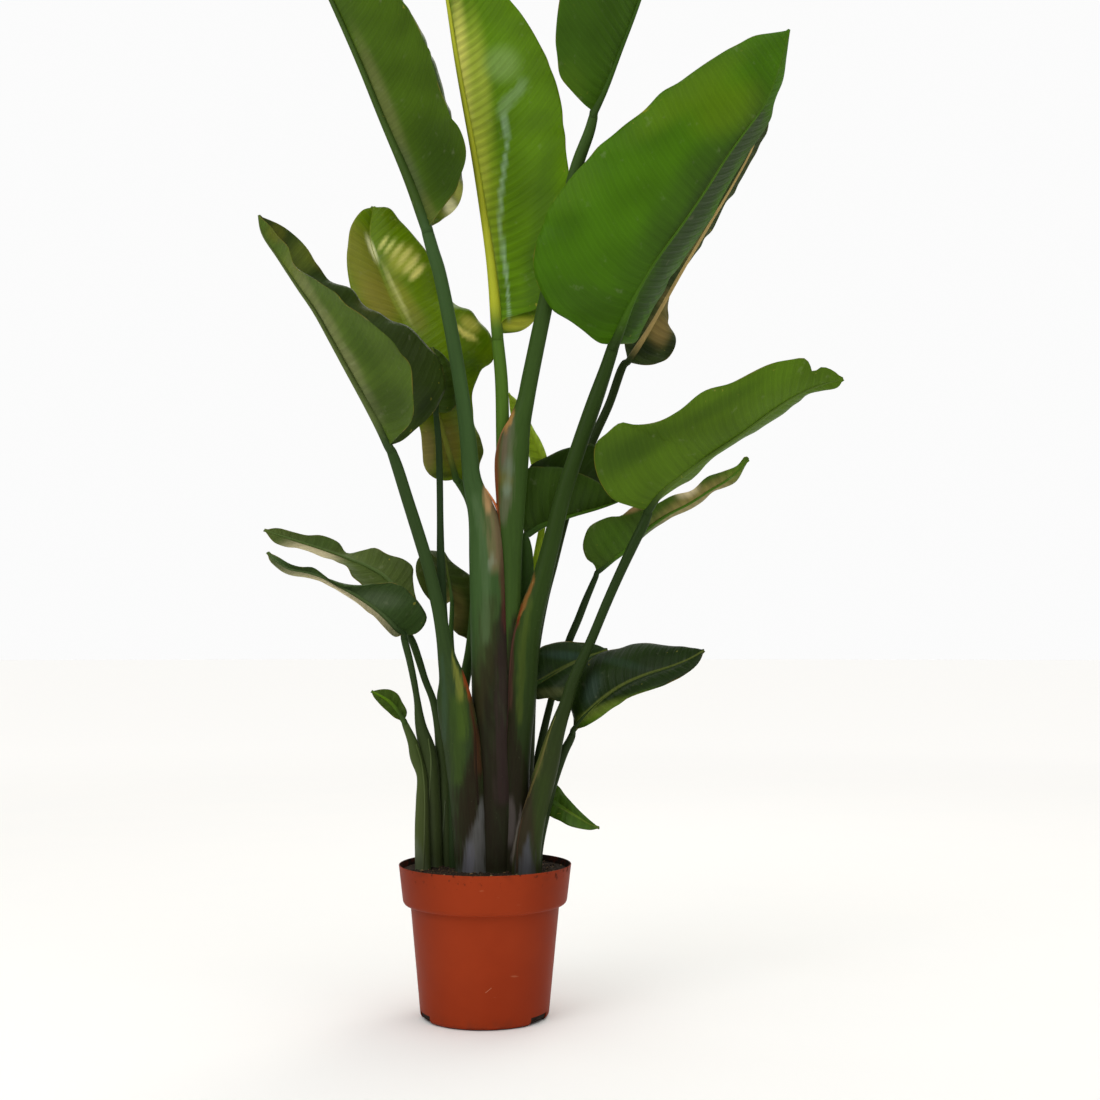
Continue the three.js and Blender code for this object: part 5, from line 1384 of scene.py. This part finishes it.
def pot_finish():
    """Terracotta-coloured plastic: satin, faintly mottled and scuffed, rim-stained, with painted shade."""
    f = Finish("terracotta_plastic", Specular_IOR_Level=0.05)
    here = f.place()
    x, y, z = f.split(here)
    core = (x * x + y * y).root()
    top = POT_HEIGHT * MM
    cloud = f.noise(here, 7.0, 3.0)
    mottle = f.noise(here, 42.0, 4.0)
    pores = f.noise(here, 900.0, 2.0)
    drawn = f.noise(f.vector(x * 12.0, y * 12.0, z * 90.0), 1.0, 3.0)
    colour = f.blend(cloud.ease(0.35, 0.7), TERRACOTTA, DARK_TERRACOTTA)
    # Painted shade: the pot darkens towards its left and right sides, by x alone
    side = x.size().ease(0.03, 0.105)
    colour = f.shade(colour, 0.92 + cloud * 0.16 + mottle * 0.10 - side * 0.32)

    rubbed = f.noise(f.vector(x * 30.0, y * 30.0, z * 160.0), 1.0, 2.0).ease(0.70, 0.76)
    scuff = rubbed * f.noise(here, 11.0, 1.0).ease(0.45, 0.6)
    colour = f.blend(scuff * 0.4, colour, (196, 128, 96))
    smear = f.noise(here, 26.0, 3.0).ease(0.5, 0.7) * z.ease(top - 0.017, top - 0.002)
    colour = f.blend(smear * 0.35, colour, (74, 34, 20))
    splash = f.noise(here, 120.0, 3.0).ease(0.60, 0.68) * z.ease(top - 0.025, top + 0.0005)
    colour = f.blend(splash * 0.8, colour, (48, 28, 18))
    grime = (1 - z.ease(0.0, 0.02)) * f.noise(here, 60.0, 3.0).ease(0.4, 0.65)
    colour = f.blend(grime * 0.45, colour, (92, 50, 36))

    # The inner wall is dark brown from the rim down to 38 mm below it
    slope = (RIM_RADIUS - BAND_FOOT_RADIUS) / BAND_HEIGHT
    inside = (core < (RIM_RADIUS - INNER_DARK_INSET) * MM - (top - z) * slope) * (z > top - 0.038)
    inner_dark = inside * (0.75 + f.noise(here, 70.0, 3.0).ease(0.35, 0.5) * 0.25)
    colour = f.blend(inner_dark, colour, (38, 27, 19))
    at_x, at_z = (v * MM for v in SCRATCH["point"])
    scratch = ((x - at_x - (z - at_z) * SCRATCH["lean"]).size() < SCRATCH["half_width"] * MM) * (y < 0)
    for wire, (low, high) in ((x, SCRATCH["across"]), (z, SCRATCH["up"])):
        scratch = scratch * (wire > low * MM) * (wire < high * MM)
    colour = f.blend(scratch * 0.55, colour, (206, 150, 120))
    # Painted shade: the inside of each drain notch is darkened nearly to black
    notch = (core < (BASE_RADIUS - 2.8) * MM) * (z < (NOTCH_HEIGHT + 0.6) * MM)
    colour = f.blend(notch * 0.85, colour, (34, 26, 30))
    rough = 0.42 + mottle * 0.12 + grime * 0.2 + splash * 0.25 + scuff * 0.15
    relief = f.bump(mottle * 0.35 + pores * 0.25 + drawn * 0.15 + splash * 0.8, 0.0004)
    return f.wear(Base_Color=colour, Roughness=rough, Normal=relief)


def peat_finish():
    """Peat: dark, matt and fibrous, with paler threads."""
    f = Finish("peat_skin", Specular_IOR_Level=0.2)
    here = f.place()
    grain = f.noise(here, 420.0, 5.0, 0.7)
    fibre = f.noise(here, 160.0, 4.0, 0.6, 1.5)
    colour = f.shade(f.tint(), 0.35 + grain * 1.3)
    colour = f.blend(fibre.ease(0.62, 0.70) * 0.5, colour, (126, 100, 66))
    return f.wear(Base_Color=colour, Roughness=0.8 + grain * 0.2, Normal=f.bump(grain + fibre, 0.0012))


def floor_finish():
    """Plain pale floor, which glows a little far away, so that it meets the surround without a line."""
    f = Finish("pale_floor", Specular_IOR_Level=0.2, Emission_Strength=1.0)
    here = f.place()
    tone = f.noise(here, 3.0, 2.0)
    x, y, _ = f.split(here)
    far = (x * x + y * y).root().ease(1.0, 6.0) * 0.13
    colour = f.blend(tone, (246, 245, 243), (243, 243, 242))
    return f.wear(Base_Color=colour, Roughness=0.75 + tone * 0.1, Emission_Color=f.vector(far, far, far))


def floor():
    """A wide flat disc under the pot."""
    turn = np.linspace(0, 2 * np.pi, 96, endpoint=False)
    shape = Shape()
    shape.add(np.stack([FLOOR_RADIUS * np.cos(turn), FLOOR_RADIUS * np.sin(turn), turn * 0], -1),
              [np.arange(len(turn))[None]])
    ground = show("floor", shape.mesh("floor"))
    ground.data.materials.append(floor_finish())


def look_from(thing, at, aim):
    """Puts a lamp or a camera at a point and turns it to its aim."""
    thing.location = at
    thing.rotation_euler = (Vector(aim) - Vector(at)).to_track_quat("-Z", "Y").to_euler()


def lamp(name, at, aim, size, watts, colour=(1, 1, 1)):
    """A square soft lamp that faces its aim."""
    light = bpy.data.lights.new(name, "AREA")
    light.size, light.energy, light.color = size, watts, colour
    look_from(show(name, light), at, aim)


def sky():
    """A pale surround: even where the camera sees it, and as a light bright overhead and dim all round."""
    world = bpy.data.worlds.new("surround")
    bpy.context.scene.world = world
    world.use_nodes = True
    nodes, links = world.node_tree.nodes, world.node_tree.links
    nodes.clear()
    path, mix, soft, seen = (nodes.new("ShaderNode" + kind) for kind in (
        "LightPath", "MixShader", "Background", "Background"))
    out, direction, split, height = (nodes.new("ShaderNode" + kind) for kind in (
        "OutputWorld", "TexCoord", "SeparateXYZ", "MapRange"))
    height.interpolation_type = "SMOOTHSTEP"
    for node, values in (
            (height, {"From Min": 0.2, "From Max": 0.85, "To Min": SURROUND_LOW, "To Max": SURROUND_HIGH}),
            (soft, {"Color": (1.0, 0.99, 0.97, 1)}),
            (seen, {"Color": (1, 1, 1, 1), "Strength": SURROUND_SEEN})):
        for key, value in values.items():
            node.inputs[key].default_value = value
    for start, output, end, socket in (
            (direction, "Generated", split, 0), (split, "Z", height, "Value"),
            (height, "Result", soft, "Strength"), (path, "Is Camera Ray", mix, 0),
            (soft, 0, mix, 1), (seen, 0, mix, 2), (mix, 0, out, 0)):
        links.new(start.outputs[output], end.inputs[socket])


def studio():
    """The camera at the photograph's place, soft lamps, the surround and the floor."""
    scene = bpy.context.scene
    lens = bpy.data.cameras.new("camera")
    lens.sensor_width = 36
    lens.lens = lens.sensor_width * FOCAL_PIXELS / PICTURE_PIXELS
    scene.camera = show("camera", lens)
    look_from(scene.camera, (0, -VIEW_DISTANCE * MM, VIEW_HEIGHT * MM), CAMERA_AIM)
    scene.view_settings.view_transform = "Standard"
    lamp("key", (-1.7, -2.1, 2.4), (0.05, 0, 0.8), 1.6, 26)
    lamp("back", (1.1, 1.9, 3.0), (0.05, 0, 1.1), 1.4, 18, (1, 0.98, 0.9))
    lamp("fill", (2.2, -2.2, 1.6), (0.05, 0, 0.8), 2.0, 5)
    sky()
    floor()


stalk_skin, blade_skin = stalk_finish(), blade_finish()
for order, (leaf_name, leaf_rows) in enumerate(LEAVES.items()):
    stalk_piece(leaf_name, leaf_rows, stalk_skin)
    blade_piece(leaf_name, leaf_rows, order, blade_skin)
pot_piece(pot_finish())
soil_piece(peat_finish())
studio()
